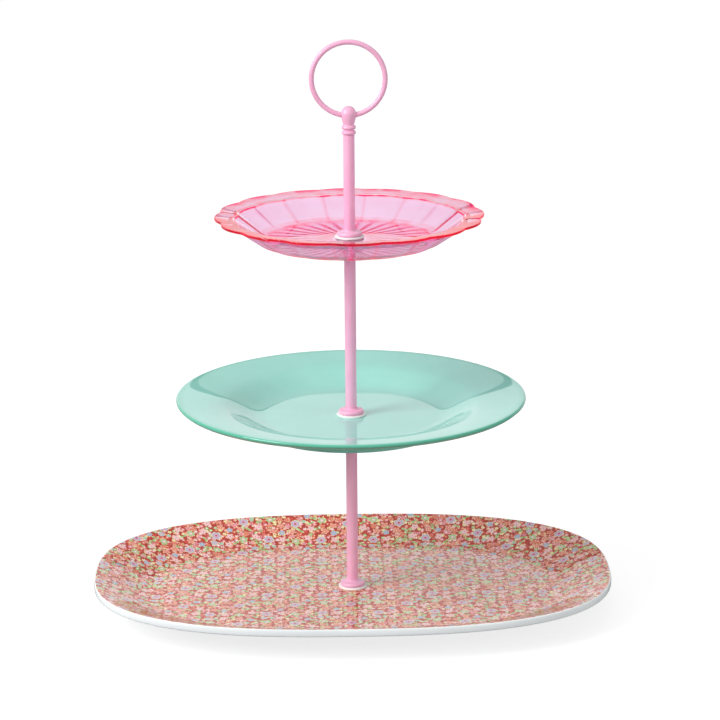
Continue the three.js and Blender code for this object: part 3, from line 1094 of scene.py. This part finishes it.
@dataclass
class Plate:
    """The round mint plate: flat well, hollow wall and a broad rim that keeps rising gently."""

    well: float = 48 * MM
    wall_run: float = 23 * MM
    wall_height: float = 7.4 * MM
    wall_curve: float = 0.6
    wall_steps: int = 24
    rim_steps: int = 16
    rim_straight: float = 0.46  # these three share out the rim's rise
    rim_easing: float = 0.76
    rim_kick: float = 0.16
    kick_run: float = 0.12
    lip: float = 2.2 * MM
    foot_radius: float = 57 * MM
    foot_width: float = 3.2 * MM
    hole: float = 2.5 * MM
    around: int = 256

    def face(self, height: float, radius: float, rim: float, start: float) -> list[Point]:
        """The upper face's half section, or the same curve under the plate.

        Args:
            height: Height of the well.
            radius: Outer radius.
            rim: How much the broad rim rises.
            start: Radius where the curve starts.

        Returns:
            Points from the inside out.
        """
        points = []
        for k in range(self.wall_steps + 1):
            u = k / self.wall_steps
            rise = self.wall_height * wall_rise(u, self.wall_curve)
            points.append((self.well + self.wall_run * u, height + rise))
        begin = self.well + self.wall_run
        for k in range(1, self.rim_steps):
            u = k / self.rim_steps
            # leaves the wall at its own slope, flattens within a few millimetres, then eases off
            share = self.rim_straight * u + self.rim_easing * (u - u * u / 2)
            share += self.rim_kick * (1 - math.exp(-u / self.kick_run))
            rise = self.wall_height + rim * share
            points.append((begin + (radius - begin) * u, height + rise))
        return [p for p in points if p[0] > start]

    def build(self) -> None:
        """Turns the plate."""
        span = Span.of("plate")
        top = Span.of("plate_washer").bottom
        under = Span.of("plate_under_washer").top
        rim = span.top - top - self.wall_height
        foot_in = self.foot_radius - self.foot_width
        foot = rounded(
            [
                (foot_in - 3 * MM, under, 0),
                (foot_in, under, 1.4 * MM),
                (foot_in + 0.3 * MM, span.bottom, 0.9 * MM),
                (self.foot_radius - 0.3 * MM, span.bottom, 0.9 * MM),
                (self.foot_radius, under + 0.9 * MM, 1.0 * MM),
                (self.foot_radius + 3 * MM, under + 1.9 * MM, 0),
            ]
        )
        outer = self.face(under, span.radius, rim, self.foot_radius + 3.5 * MM)
        middle = span.top - self.lip / 2
        lip = arc(span.radius - self.lip / 2, middle, self.lip / 2, self.lip / 2, (-80, 100), 12)
        inner = self.face(top, span.radius - self.lip / 2, rim, 0)[::-1]
        well = [(self.hole + (self.well - self.hole) * k / 6, top) for k in range(6)][::-1]
        flat = [(self.hole + (foot_in - 3 * MM - self.hole) * k / 5, under) for k in range(5)]
        below, above = flat + foot + outer, inner[1:] + well
        # painted shade: strongest on the lip, lighter under the plate, none on the upper face
        painted_weight = [0.35] * len(flat + foot) + [0.5] * len(outer) + [1.0] * (len(lip) - 3) + [0.3] * 3
        weights = {"painted_shade_share": painted_weight + [0.0] * len(above)}
        plate = turned("plate_moulding", below + lip + above, self.around, weights)
        stand_in(plate, "plate", MINT_MELAMINE)


@dataclass(frozen=True)
class DishRow:
    """One ring of the dish before it is fluted: its place, its flutes and where painted light gathers."""

    radius: float
    height: float
    scallop: float = 0.0
    relief: float = 0.0
    rim_light: float = 0.0
    rib_light: float = 0.0
    ray_light: float = 0.0

    def lit(self, rim: float = 0.0, rib: float = 0.0, ray: float = 0.0) -> "DishRow":
        """The same row with its share of gathered light."""
        return replace(self, rim_light=rim, rib_light=rib, ray_light=ray)


@dataclass(frozen=True)
class GatheredLight:
    """How strongly painted light gathers in each zone of the dish, from 0 to 1."""

    floor: float = 0.16
    floor_rays: float = 0.6
    wall_foot: float = 0.45
    wall_top: float = 1.0
    ribs_inside: float = 0.6
    crease: float = 0.9
    flange: float = 0.32
    lip: float = 1.0
    lip_top: float = 0.6
    lowest_outside: tuple[float, ...] = (0.85, 0.7, 0.7, 0.45, 0.45, 0.45)
    wall_outside: float = 0.14
    ribs_outside: float = 0.7
    underside: float = 0.2
    underside_edge: float = 0.55


@dataclass
class ScallopedDish:
    """The clear dish: arched lobes, a gently climbing flange and a sunburst pressed under the floor."""

    lobes: int = 16
    lobe_phase: float = math.radians(-2.2)
    flange_width: float = 10.2 * MM
    flange_rise: float = 1 * MM
    wall_run: float = 19.5 * MM
    wall_curve: float = 0.3
    thickness: float = 1.7 * MM
    lip: float = 1.45 * MM
    flange_scallop: float = 2.2 * MM
    wall_scallop: float = 1.5 * MM
    foot_share: float = 0.35  # of the wall's scallop, at its foot
    relief: float = 0.7 * MM
    plain_ring: float = 3 * MM
    hole: float = 2.5 * MM
    floor_steps: int = 9
    wall_steps: int = 18
    relief_steps: int = 15
    around: int = 16 * 24
    light: GatheredLight = GatheredLight()

    def scallop_at(self, u: float) -> float:
        """Depth of the notches between flutes at the share u of the wall's run."""
        return self.wall_scallop * (self.foot_share + (1 - self.foot_share) * u)

    def inside(self, top: float, wall_foot: float, depth: float) -> list[DishRow]:
        """Rows of the floor's upper face and the wall's inside.

        Args:
            top: Height of the floor.
            wall_foot: Radius where the wall starts.
            depth: Height of the wall.

        Returns:
            The rows, from the hole outwards.
        """
        rows: list[DishRow] = []
        for k in range(self.floor_steps):
            u = k / self.floor_steps
            row = DishRow(self.hole + (wall_foot - self.hole) * u, top, self.scallop_at(0) * u**4)
            rows.append(row.lit(self.light.floor, ray=self.light.floor_rays if 0.2 < u < 0.95 else 0.0))
        close_to_top = (0.92, 0.96, 0.985)
        for u in (*(k / self.wall_steps for k in range(self.wall_steps - 1)), *close_to_top):
            rise = depth * wall_rise(u, self.wall_curve)
            row = DishRow(wall_foot + self.wall_run * u, top + rise, self.scallop_at(u))
            gathered = self.light.wall_top if u >= close_to_top[0] else 0.0
            rows.append(row.lit(self.light.wall_foot if u == 0 else gathered, self.light.ribs_inside))
        return rows

    def flange(self, radius: float, rim: float) -> list[DishRow]:
        """Rows of the flange: over its upper face, round the lip and back below.

        Args:
            radius: Radius of the lip.
            rim: Height of the lip.

        Returns:
            The rows, from the wall outwards and back.
        """
        wall_top = radius - self.flange_width
        shoulder = rim - self.flange_rise
        edge = rounded(
            [
                (wall_top - 2 * MM, shoulder - 1.35 * MM, 0),
                (wall_top, shoulder, 1.0 * MM),
                (radius, rim, 0.6 * MM),
                (radius, rim - self.lip, 0.6 * MM),
                (wall_top + self.thickness, shoulder - self.thickness, 1.2 * MM),
                (wall_top - 0.4 * MM, shoulder - self.thickness - 1.6 * MM, 0),
            ],
            6,
        )[1:-1]
        rows: list[DishRow] = []
        for r, z in edge:
            share = min(max((r - wall_top) / self.flange_width, 0), 1)
            below = z < shoulder + self.flange_rise * share - 0.3 * self.lip
            if share > 0.93 and below:
                gathered = self.light.lip
            elif share > 0.95:
                gathered = self.light.lip_top
            else:
                gathered = self.light.crease if share < 0.03 else self.light.flange
            scallop = self.wall_scallop + (self.flange_scallop - self.wall_scallop) * share
            rows.append(DishRow(r, z, scallop).lit(gathered))
        return rows

    def outside(self, under: float, wall_foot: float, depth: float) -> list[DishRow]:
        """Rows of the wall's outside, brightest at its foot.

        Args:
            under: Height of the underside.
            wall_foot: Radius where the wall starts.
            depth: Height of the wall.

        Returns:
            The rows, from the top down.
        """
        rows: list[DishRow] = []
        lowest = self.light.lowest_outside
        for k in reversed(range(self.wall_steps - 1)):
            u = k / self.wall_steps
            radius = wall_foot + self.thickness * u**0.5 + self.wall_run * u
            row = DishRow(radius, under + depth * wall_rise(u, self.wall_curve), self.scallop_at(u))
            gathered = lowest[k] if k < len(lowest) else self.light.wall_outside
            rows.append(row.lit(gathered, self.light.ribs_outside))
        return rows

    def underside(self, under: float, wall_foot: float, start: float) -> list[DishRow]:
        """Rows of the pressed sunburst and the plain ring round the hole.

        Args:
            under: Height of the underside.
            wall_foot: Radius where the sunburst ends.
            start: Radius where it starts.

        Returns:
            The rows, from the wall inwards.
        """
        rows: list[DishRow] = []
        for k in reversed(range(self.relief_steps)):
            u = k / self.relief_steps
            press = self.relief * math.sin(math.pi * u) ** 0.6 if u > 0 else 0.0
            row = DishRow(start + (wall_foot - start) * u, under, self.scallop_at(0) * u**6, press)
            gathered = self.light.underside_edge if u > 0.85 else self.light.underside
            rows.append(row.lit(gathered, ray=math.sin(math.pi * u)))
        for k in reversed(range(4)):
            rows.append(DishRow(self.hole + (start - self.hole) * k / 4, under))
        return rows

    def build(self) -> None:
        """Turns the plain dish, with the depth of the flutes as point weights, and presses them."""
        span = Span.of("dish")
        seat = Span.of("dish_washer")
        under = Span.of("dish_under_washer").top
        wall_foot = span.radius - self.flange_width - self.wall_run
        depth = span.top - self.flange_rise - seat.bottom
        rows = self.inside(seat.bottom, wall_foot, depth)
        rows += self.flange(span.radius, span.top)
        rows += self.outside(under, wall_foot, depth)
        rows += self.underside(under, wall_foot, seat.radius + self.plain_ring)
        names = ("scallop", "relief", "rim_light", "rib_light", "ray_light")
        weights = {name: [getattr(row, name) for row in rows] for name in names}
        dish = turned("dish_moulding", [(row.radius, row.height) for row in rows], self.around, weights)
        notch = math.pi / 2 - self.lobe_phase + math.pi / self.lobes
        values = {"Count": float(self.lobes), "Phase": notch, "Material": ACRYLIC.material()}
        shape_with(dish, flute_tree(), values)
        stand_in(dish, "dish", ACRYLIC)


# ------------------------------------------------------------------ rod fittings
def washer(name: str, node: str, finish: Finish, bore: float, edge: float) -> None:
    """Builds a flat washer with softly rounded edges.

    Args:
        name: Name of the piece.
        node: The node that it stands for.
        finish: Its finish.
        bore: Radius of its hole.
        edge: Rounding of its edges.
    """
    span = Span.of(node)
    stand_in(turned(name, sleeve(bore, span.radius, span.bottom, span.top, edge), 72), node, finish)


@dataclass
class ThreadedInsert:
    """A brass bush pressed into a tube, knurled outside."""

    bore: float = 2.05 * MM
    knurls: int = 24
    knurl_depth: float = 0.06 * MM

    def build(self, node: str) -> None:
        """Turns the bush and presses its knurl."""
        span = Span.of(node)
        outline = sleeve(self.bore, span.radius, span.bottom, span.top, 0.35 * MM)
        weights = [self.knurl_depth if r > span.radius - 0.2 * MM else 0 for r, _ in outline]
        bush = turned(f"{node}_bush", outline, 96, {"scallop": weights, "relief": [0] * len(outline)})
        values = {"Count": float(self.knurls), "Phase": 0.0, "Material": BRASS.material()}
        shape_with(bush, flute_tree(), values)
        stand_in(bush, node, BRASS)


@dataclass
class Screw:
    """A steel stud or screw with an M4 thread cut on its shank."""

    radius: float = 2 * MM
    pitch: float = 0.7 * MM
    depth: float = 0.4 * MM
    steps_per_turn: int = 8
    head_edge: float = 0.12 * MM

    def threaded(self, bottom: float, top: float, chamfer: float = 0.5 * MM) -> list[ThreadRow]:
        """Rows of a threaded shank: radius, height and weight of the thread, from the bottom up."""
        count = round((top - bottom - 2 * chamfer) / self.pitch * self.steps_per_turn)
        rows = []
        for k in range(count + 1):
            height = bottom + chamfer + (top - bottom - 2 * chamfer) * k / count
            rows.append((self.radius, height, min(1.0, k / 6, (count - k) / 6)))
        return rows

    def make(self, name: str, rows: Sequence[ThreadRow]) -> bpy.types.Object:
        """Turns a blank and cuts its thread.

        Args:
            name: Name of the piece.
            rows: Radius, height and weight of the thread, from pole to pole.

        Returns:
            The threaded piece.
        """
        piece = turned(name, [(r, z) for r, z, _ in rows], 40, {"thread": [w for _, _, w in rows]})
        values = {"Pitch": self.pitch, "Depth": self.depth, "Material": STEEL.material()}
        shape_with(piece, thread_tree(), values)
        return piece

    def stud(self, node: str, foot: float | None = None) -> None:
        """Builds a stud; above foot, if there is one, it has a plain root.

        Args:
            node: The node that it stands for.
            foot: Height where the root starts.
        """
        span = Span.of(node)
        top = foot if foot is not None else span.top
        rows = [(0, span.bottom, 0), (self.radius - 0.5 * MM, span.bottom, 0)]
        rows += self.threaded(span.bottom, top)
        if foot is None:
            rows.append((self.radius - 0.5 * MM, span.top, 0))
        else:
            root = [(self.radius, foot, 0), (span.radius, foot, 0.2 * MM)]
            root.append((span.radius, span.top, 0.5 * MM))
            rows += [(r, z, 0) for r, z in rounded([*root, (0, span.top, 0)])[:-1]]
        rows.append((0, span.top, 0))
        stand_in(self.make(f"{node}_shank", rows), node, STEEL)

    def base_screw(self, node: str) -> None:
        """Builds the domed screw under the tray, with a cross recess."""
        span = Span.of(node)
        seat = Span.of("base_steel_washer").bottom
        dome = arc(0, seat - 0.5 * MM, span.radius, seat - 0.5 * MM - span.bottom, (-90, 0), 14)
        rows = [(r, z, 0) for r, z in dome]
        rows[0] = (0, span.bottom, 0)
        rows += [(span.radius, seat - self.head_edge, 0), (span.radius - self.head_edge, seat, 0)]
        rows.append((self.radius, seat, 0))
        rows += self.threaded(seat, span.top)
        rows += [(self.radius - 0.5 * MM, span.top, 0), (0, span.top, 0)]
        piece = self.make("base_screw_domed", rows)
        for angle in (0, math.pi / 2):
            cut_slot(piece, angle, span.bottom)
        stand_in(piece, node, STEEL)


def cut_slot(piece: bpy.types.Object, angle: float, bottom: float) -> None:
    """Cuts one tapered slot of a cross recess upwards into a screw's head.

    Args:
        piece: The screw.
        angle: Direction of the slot, in radians.
        bottom: Height of the head's lowest point.
    """
    corners = [(2.3, 0.48, -0.4), (1.5, 0.34, 1.4)]
    rings = []
    for length, width, height in corners:
        ring = [Vector((x * length, y * width, height)) for x, y in ((1, 1), (-1, 1), (-1, -1), (1, -1))]
        for p in ring:
            x, y = p.x, p.y
            p.x = (x * math.cos(angle) - y * math.sin(angle)) * MM
            p.y = (x * math.sin(angle) + y * math.cos(angle)) * MM
            p.z = bottom + p.z * MM
        rings.append(ring)
    ends = [[sum(ring, Vector()) / len(ring)] for ring in (rings[0], rings[-1])]
    tool = skin("recess_tool", [ends[0], *rings, ends[1]], closed=False)
    subtract(piece, tool)


def subtract(piece: bpy.types.Object, tool: bpy.types.Object) -> None:
    """Cuts one mesh out of another and throws the tool away."""
    modifier = piece.modifiers.new("cut", "BOOLEAN")
    modifier.object = tool
    modifier.operation = "DIFFERENCE"
    modifier.solver = "EXACT"
    graph = bpy.context.evaluated_depsgraph_get()
    result = bpy.data.meshes.new_from_object(piece.evaluated_get(graph), depsgraph=graph)
    piece.modifiers.remove(modifier)
    result.name = piece.data.name
    piece.data = result
    bpy.data.objects.remove(tool)


@dataclass
class RodSection:
    """One tube with its flared collar, washers, insert and stud."""

    section: str
    tier: str
    washer_bore: float = 2.3 * MM
    lip: float = 2.3 * MM
    seat_gap: float = 0.04 * MM

    def collar(self) -> None:
        """Turns the collar: a thick rounded disc, then a shallow hollow up to the tube."""
        node = f"{self.section}_collar"
        span = Span.of(node)
        tube = Span.of(f"{self.section}_tube").radius
        bore = tube + 0.03 * MM
        waist = tube + 0.28 * MM
        shoulder = span.radius - self.lip * 0.45
        bottom = span.bottom + self.seat_gap
        foot = arc(shoulder, bottom + self.lip / 2, self.lip * 0.45, self.lip / 2, (-90, 75), 12)
        low = foot[-1][1]
        sweep = arc(shoulder, span.top, shoulder - waist, span.top - low, (262, 180), 16)
        outline = [(bore, bottom), *foot, *sweep, (bore, span.top)]
        stand_in(turned(f"{self.section}_flared_collar", outline, 96), node, PINK)

    def tube(self) -> None:
        """Turns the tube, its ends rolled slightly inwards and just clear of the washer."""
        node = f"{self.section}_tube"
        span = Span.of(node)
        bore = Span.of(f"{self.section}_top_insert").radius + 0.03 * MM
        outline = sleeve(bore, span.radius, span.bottom + self.seat_gap, span.top, 0.35 * MM)
        stand_in(turned(f"{self.section}_rod", outline, 72), node, PINK)

    def build(self) -> None:
        """Builds the section from its foot up."""
        self.collar()
        self.tube()
        washer(f"{self.tier}_seat_washer", f"{self.tier}_washer", NYLON, self.washer_bore, 0.45 * MM)
        ThreadedInsert().build(f"{self.section}_top_insert")
        if self.section != "lower":
            Screw().stud(f"{self.section}_stud", Span.of(f"{self.section}_tube").bottom)
            under = f"{self.tier}_under_washer"
            washer(f"{self.tier}_bearing_washer", under, NYLON, self.washer_bore, 0.45 * MM)


@dataclass
class BaseFastening:
    """What holds the lower section to the tray: screw, steel washer, rubber washer and bush."""

    bore: float = 2.3 * MM

    def build(self) -> None:
        """Builds the fastening."""
        washer("base_steel_disc", "base_steel_washer", STEEL, self.bore, 0.15 * MM)
        washer("base_rubber_disc", "base_rubber_washer", RUBBER, self.bore, 0.25 * MM)
        Screw().base_screw("base_screw")
        ThreadedInsert().build("lower_foot_insert")


@dataclass
class Handle:
    """The turned finial and the wire ring brazed through it."""

    bead_radius: float = 4.1 * MM
    bead_height: float = 1.15 * MM
    bead_places: Point = (1.25 * MM, 4.2 * MM)
    bead_groove: float = 0.25 * MM
    neck_place: float = 6.1 * MM
    neck_steps: int = 9
    ring_gap: float = 0.12 * MM
    waist: float = 2.95 * MM
    neck: float = 3.12 * MM
    dome: float = 4.25 * MM
    grip: float = 5.5 * MM
    bore: float = 2.05 * MM
    braze: float = 0.12 * MM

    def finial(self, wire: float, ring_radius: float, ring_centre: float) -> None:
        """Turns the finial and bores it for the ring.

        Args:
            wire: Radius of the ring's wire.
            ring_radius: Mean radius of the ring.
            ring_centre: Height of the ring's middle.
        """
        span = Span.of("finial")
        foot = span.bottom
        outline: list[Point] = [(self.bore, foot), (self.waist, foot)]
        half = self.bead_height
        for middle in (foot + place for place in self.bead_places):
            outline += arc(self.waist, middle, self.bead_radius - self.waist, half, (-82, 82), 12)
            outline.append((self.waist, middle + half + self.bead_groove))
        shoulder = span.top - self.dome
        neck_foot = foot + self.neck_place
        for k in range(self.neck_steps):
            u = k / self.neck_steps
            swell = (self.dome - self.neck) * math.sin(math.pi / 2 * u)
            outline.append((self.neck + swell, neck_foot + (shoulder - neck_foot) * u))
        outline += arc(0, shoulder, self.dome, self.dome, (0, 90), 16)[:-1]
        outline += [(0, span.top)]
        core = [(0, foot + self.grip), (self.bore, foot + self.grip)]
        body = turned("finial_turned", [*core, *outline], 96)
        subtract(body, self.hoop("ring_tool", wire + self.ring_gap, ring_radius, ring_centre, 0))
        stand_in(body, "finial", PINK)

    def hoop(self, name: str, wire: float, radius: float, centre: float, braze: float) -> bpy.types.Object:
        """Sweeps a wire round a ring that stands upright.

        Args:
            name: Name of the object.
            wire: Radius of the wire.
            radius: Mean radius of the ring.
            centre: Height of the ring's middle.
            braze: How much the wire swells where it leaves the dome.

        Returns:
            The ring.
        """
        leave = math.asin(self.dome / radius)
        rings = []
        for i in range(180):
            angle = TURN * i / 180
            past = abs(math.remainder(angle, TURN)) - leave
            swell = braze * math.exp(-((past / math.radians(2.2)) ** 2))
            out = Vector((math.sin(angle), 0, -math.cos(angle)))
            middle = Vector((0, 0, centre)) + out * radius
            ring = []
            for k in range(28):
                turn = TURN * k / 28
                offset = out * math.cos(turn) + Vector((0, 1, 0)) * math.sin(turn)
                ring.append(middle + offset * (wire + swell))
            rings.append(ring)
        return skin(name, rings)

    def build(self) -> None:
        """Builds the finial, its stud and the ring."""
        low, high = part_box("ring_handle")
        wire = (high.y - low.y) / 2
        radius = (high.x - low.x) / 2 - wire
        centre = (high.z + low.z) / 2
        self.finial(wire, radius, centre)
        stand_in(self.hoop("ring_wire", wire, radius, centre, self.braze), "ring_handle", PINK)
        Screw().stud("finial_stud")


# ------------------------------------------------------------------ studio
@dataclass
class Studio:
    """Pale floor, soft lights, a low white sweep behind and the camera."""

    distance: float = 1.442
    height: float = 0.5366
    azimuth: float = math.radians(-1.1)
    pitch: float = math.radians(15.16)
    roll: float = math.radians(0.45)
    aim_right: float = 0.0053
    lens: float = 130.8
    room: float = 9.0
    cove: float = 4.5
    sweep_distance: float = 1.0
    sweep_top: float = 0.45
    sweep_edge: float = 0.022

    def camera(self) -> None:
        """Sets the camera at eye height in front of the stand."""
        data = bpy.data.cameras.new("camera")
        data.lens = self.lens
        data.sensor_width = 36
        data.clip_end = 50
        camera = bpy.data.objects.new("camera", data)
        bpy.context.scene.collection.objects.link(camera)
        back = Vector((math.sin(self.azimuth), -math.cos(self.azimuth), 0))
        right = Vector((math.cos(self.azimuth), math.sin(self.azimuth), 0))
        camera.location = back * self.distance + right * self.aim_right + Vector((0, 0, self.height))
        look = -back * math.cos(self.pitch) - Vector((0, 0, math.sin(self.pitch)))
        turn = look.to_track_quat("-Z", "Y") @ Quaternion((0, 0, 1), -self.roll)
        camera.rotation_euler = turn.to_euler()
        bpy.context.scene.camera = camera

    def cove_section(self, curved: bool) -> list[Point]:
        """Outer half section of a floor: level, or sweeping up into a wall."""
        if not curved:
            return [(self.room, 0.0)]
        sweep = arc(self.room - self.cove, self.cove, self.cove, self.cove, (-90, 0), 16)
        return [*sweep, (self.room, self.room)]

    def floor(self) -> None:
        """Lays a pale glowing sheet with walls, which the eye sees, on a duller floor for the stand."""
        layers = (
            ("floor_sheet", -0.2 * MM, "opal acrylic, cast", "9A9A9A", 0.78),
            ("floor_board", -0.4 * MM, "grey board, painted", "969696", 0.0),
        )
        for name, height, title, shade, glow in layers:
            rings = [circle(r, height, 96) for r in (0, 1, 3)]
            rings += [circle(r, height + z, 96) for r, z in self.cove_section(glow > 0)]
            layer = skin(name, rings, closed=False)
            layer.data.shade_smooth()
            material = bpy.data.materials.new(title)
            material.use_nodes = True
            shader = material.node_tree.nodes["Principled BSDF"]
            shader.inputs["Base Color"].default_value = linear(shade)
            shader.inputs["Roughness"].default_value = 0.9
            shader.inputs["Specular IOR Level"].default_value = 0.1
            shader.inputs["Emission Color"].default_value = (1, 1, 1, 1)
            shader.inputs["Emission Strength"].default_value = glow
            layer.data.materials.append(material)
            seen = glow > 0
            layer.visible_camera = layer.visible_transmission = seen
            layer.visible_diffuse = layer.visible_glossy = not seen
            layer.visible_shadow = False

    def sweep(self) -> None:
        """Stands a low bright card behind the stand, which only reflections see."""
        for name, low, high, strength in (
            ("card", 0.0, self.sweep_top, 1.05),
            ("card_edge", self.sweep_top, self.sweep_top + self.sweep_edge, 0.0),
        ):
            mesh = bpy.data.meshes.new(name)
            y = self.sweep_distance
            corners = [(-1.6, y, low), (1.6, y, low), (1.6, y, high), (-1.6, y, high)]
            mesh.from_pydata(corners, [], [(0, 1, 2, 3)])
            card = bpy.data.objects.new(name, mesh)
            bpy.context.scene.collection.objects.link(card)
            material = bpy.data.materials.new(f"{name} paint")
            material.use_nodes = True
            tree = material.node_tree
            tree.nodes.clear()
            glow = add_node(tree, "ShaderNodeEmission", {"Strength": strength})
            add_node(tree, "ShaderNodeOutputMaterial", {"Surface": glow})
            mesh.materials.append(material)
            card.visible_camera = False
            card.visible_diffuse = False
            card.visible_transmission = False
            card.visible_shadow = False

    def softbox(self, name: str, place: Vector, size: Point, power: float, mirrored: bool) -> None:
        """Hangs a soft area light that looks at the stand.

        Args:
            name: Name of the light.
            place: Where it hangs.
            size: Its width and height.
            power: Its power in watts.
            mirrored: Whether glossy surfaces show it.
        """
        data = bpy.data.lights.new(name, "AREA")
        data.shape = "RECTANGLE"
        data.size, data.size_y = size
        data.energy = power
        light = bpy.data.objects.new(name, data)
        light.location = place
        light.visible_glossy = mirrored
        light.rotation_euler = (Vector((0, 0, 0.15)) - place).to_track_quat("-Z", "Y").to_euler()
        bpy.context.scene.collection.objects.link(light)

    def surroundings(self) -> None:
        """Fills the studio with light: bright near the floor, dimmer above."""
        world = bpy.data.worlds.new("studio")
        bpy.context.scene.world = world
        world.use_nodes = True
        tree = world.node_tree
        tree.nodes.clear()
        direction = add_node(tree, "ShaderNodeTexCoord").outputs["Generated"]
        axes = add_node(tree, "ShaderNodeSeparateXYZ", {0: direction})
        share = add_node(
            tree, "ShaderNodeMapRange", {"Value": axes.outputs["Z"], "From Min": -1.0, "From Max": 1.0}
        )
        ramp = add_node(tree, "ShaderNodeValToRGB", {"Fac": share})
        levels = [(-90, 0.35), (0, 0.5), (12, 0.52), (24, 0.57), (50, 0.57), (70, 0.78), (90, 0.84)]
        stops = []
        for degrees, level in levels:
            stops.append(((math.sin(math.radians(degrees)) + 1) / 2, (level, level, level, 1.0)))
        set_ramp(ramp, stops)
        sides = add_node(
            tree,
            "ShaderNodeMapRange",
            {"Value": axes.outputs["X"], "From Min": -1.0, "To Min": 1.16, "To Max": 0.78},
        )
        level = {"Color": ramp.outputs["Color"], "Strength": sides}
        sky = add_node(tree, "ShaderNodeBackground", level)
        add_node(tree, "ShaderNodeOutputWorld", {"Surface": sky})
        bpy.context.scene.view_settings.view_transform = "Standard"
        # the dish carries light along its walls, so rays may bounce inside it many times
        path = bpy.context.scene.cycles
        path.max_bounces = path.glossy_bounces = path.transmission_bounces = 24

    def build(self) -> None:
        """Sets the whole studio up."""
        self.camera()
        self.floor()
        self.sweep()
        self.surroundings()
        self.softbox("key_softbox", Vector((-1.7, -0.9, 1.3)), (1.0, 1.3), 42, mirrored=True)
        self.softbox("fill_softbox", Vector((1.8, -1.2, 0.55)), (1.0, 1.0), 12, mirrored=False)


def main() -> None:
    """Builds the studio and then the stand from the floor up."""
    Studio().build()
    BaseFastening().build()
    Tray().build()
    for section, tier in (("lower", "tray"), ("middle", "plate"), ("upper", "dish")):
        RodSection(section, tier).build()
    Plate().build()
    ScallopedDish().build()
    Handle().build()


if __name__ == "__main__":
    main()
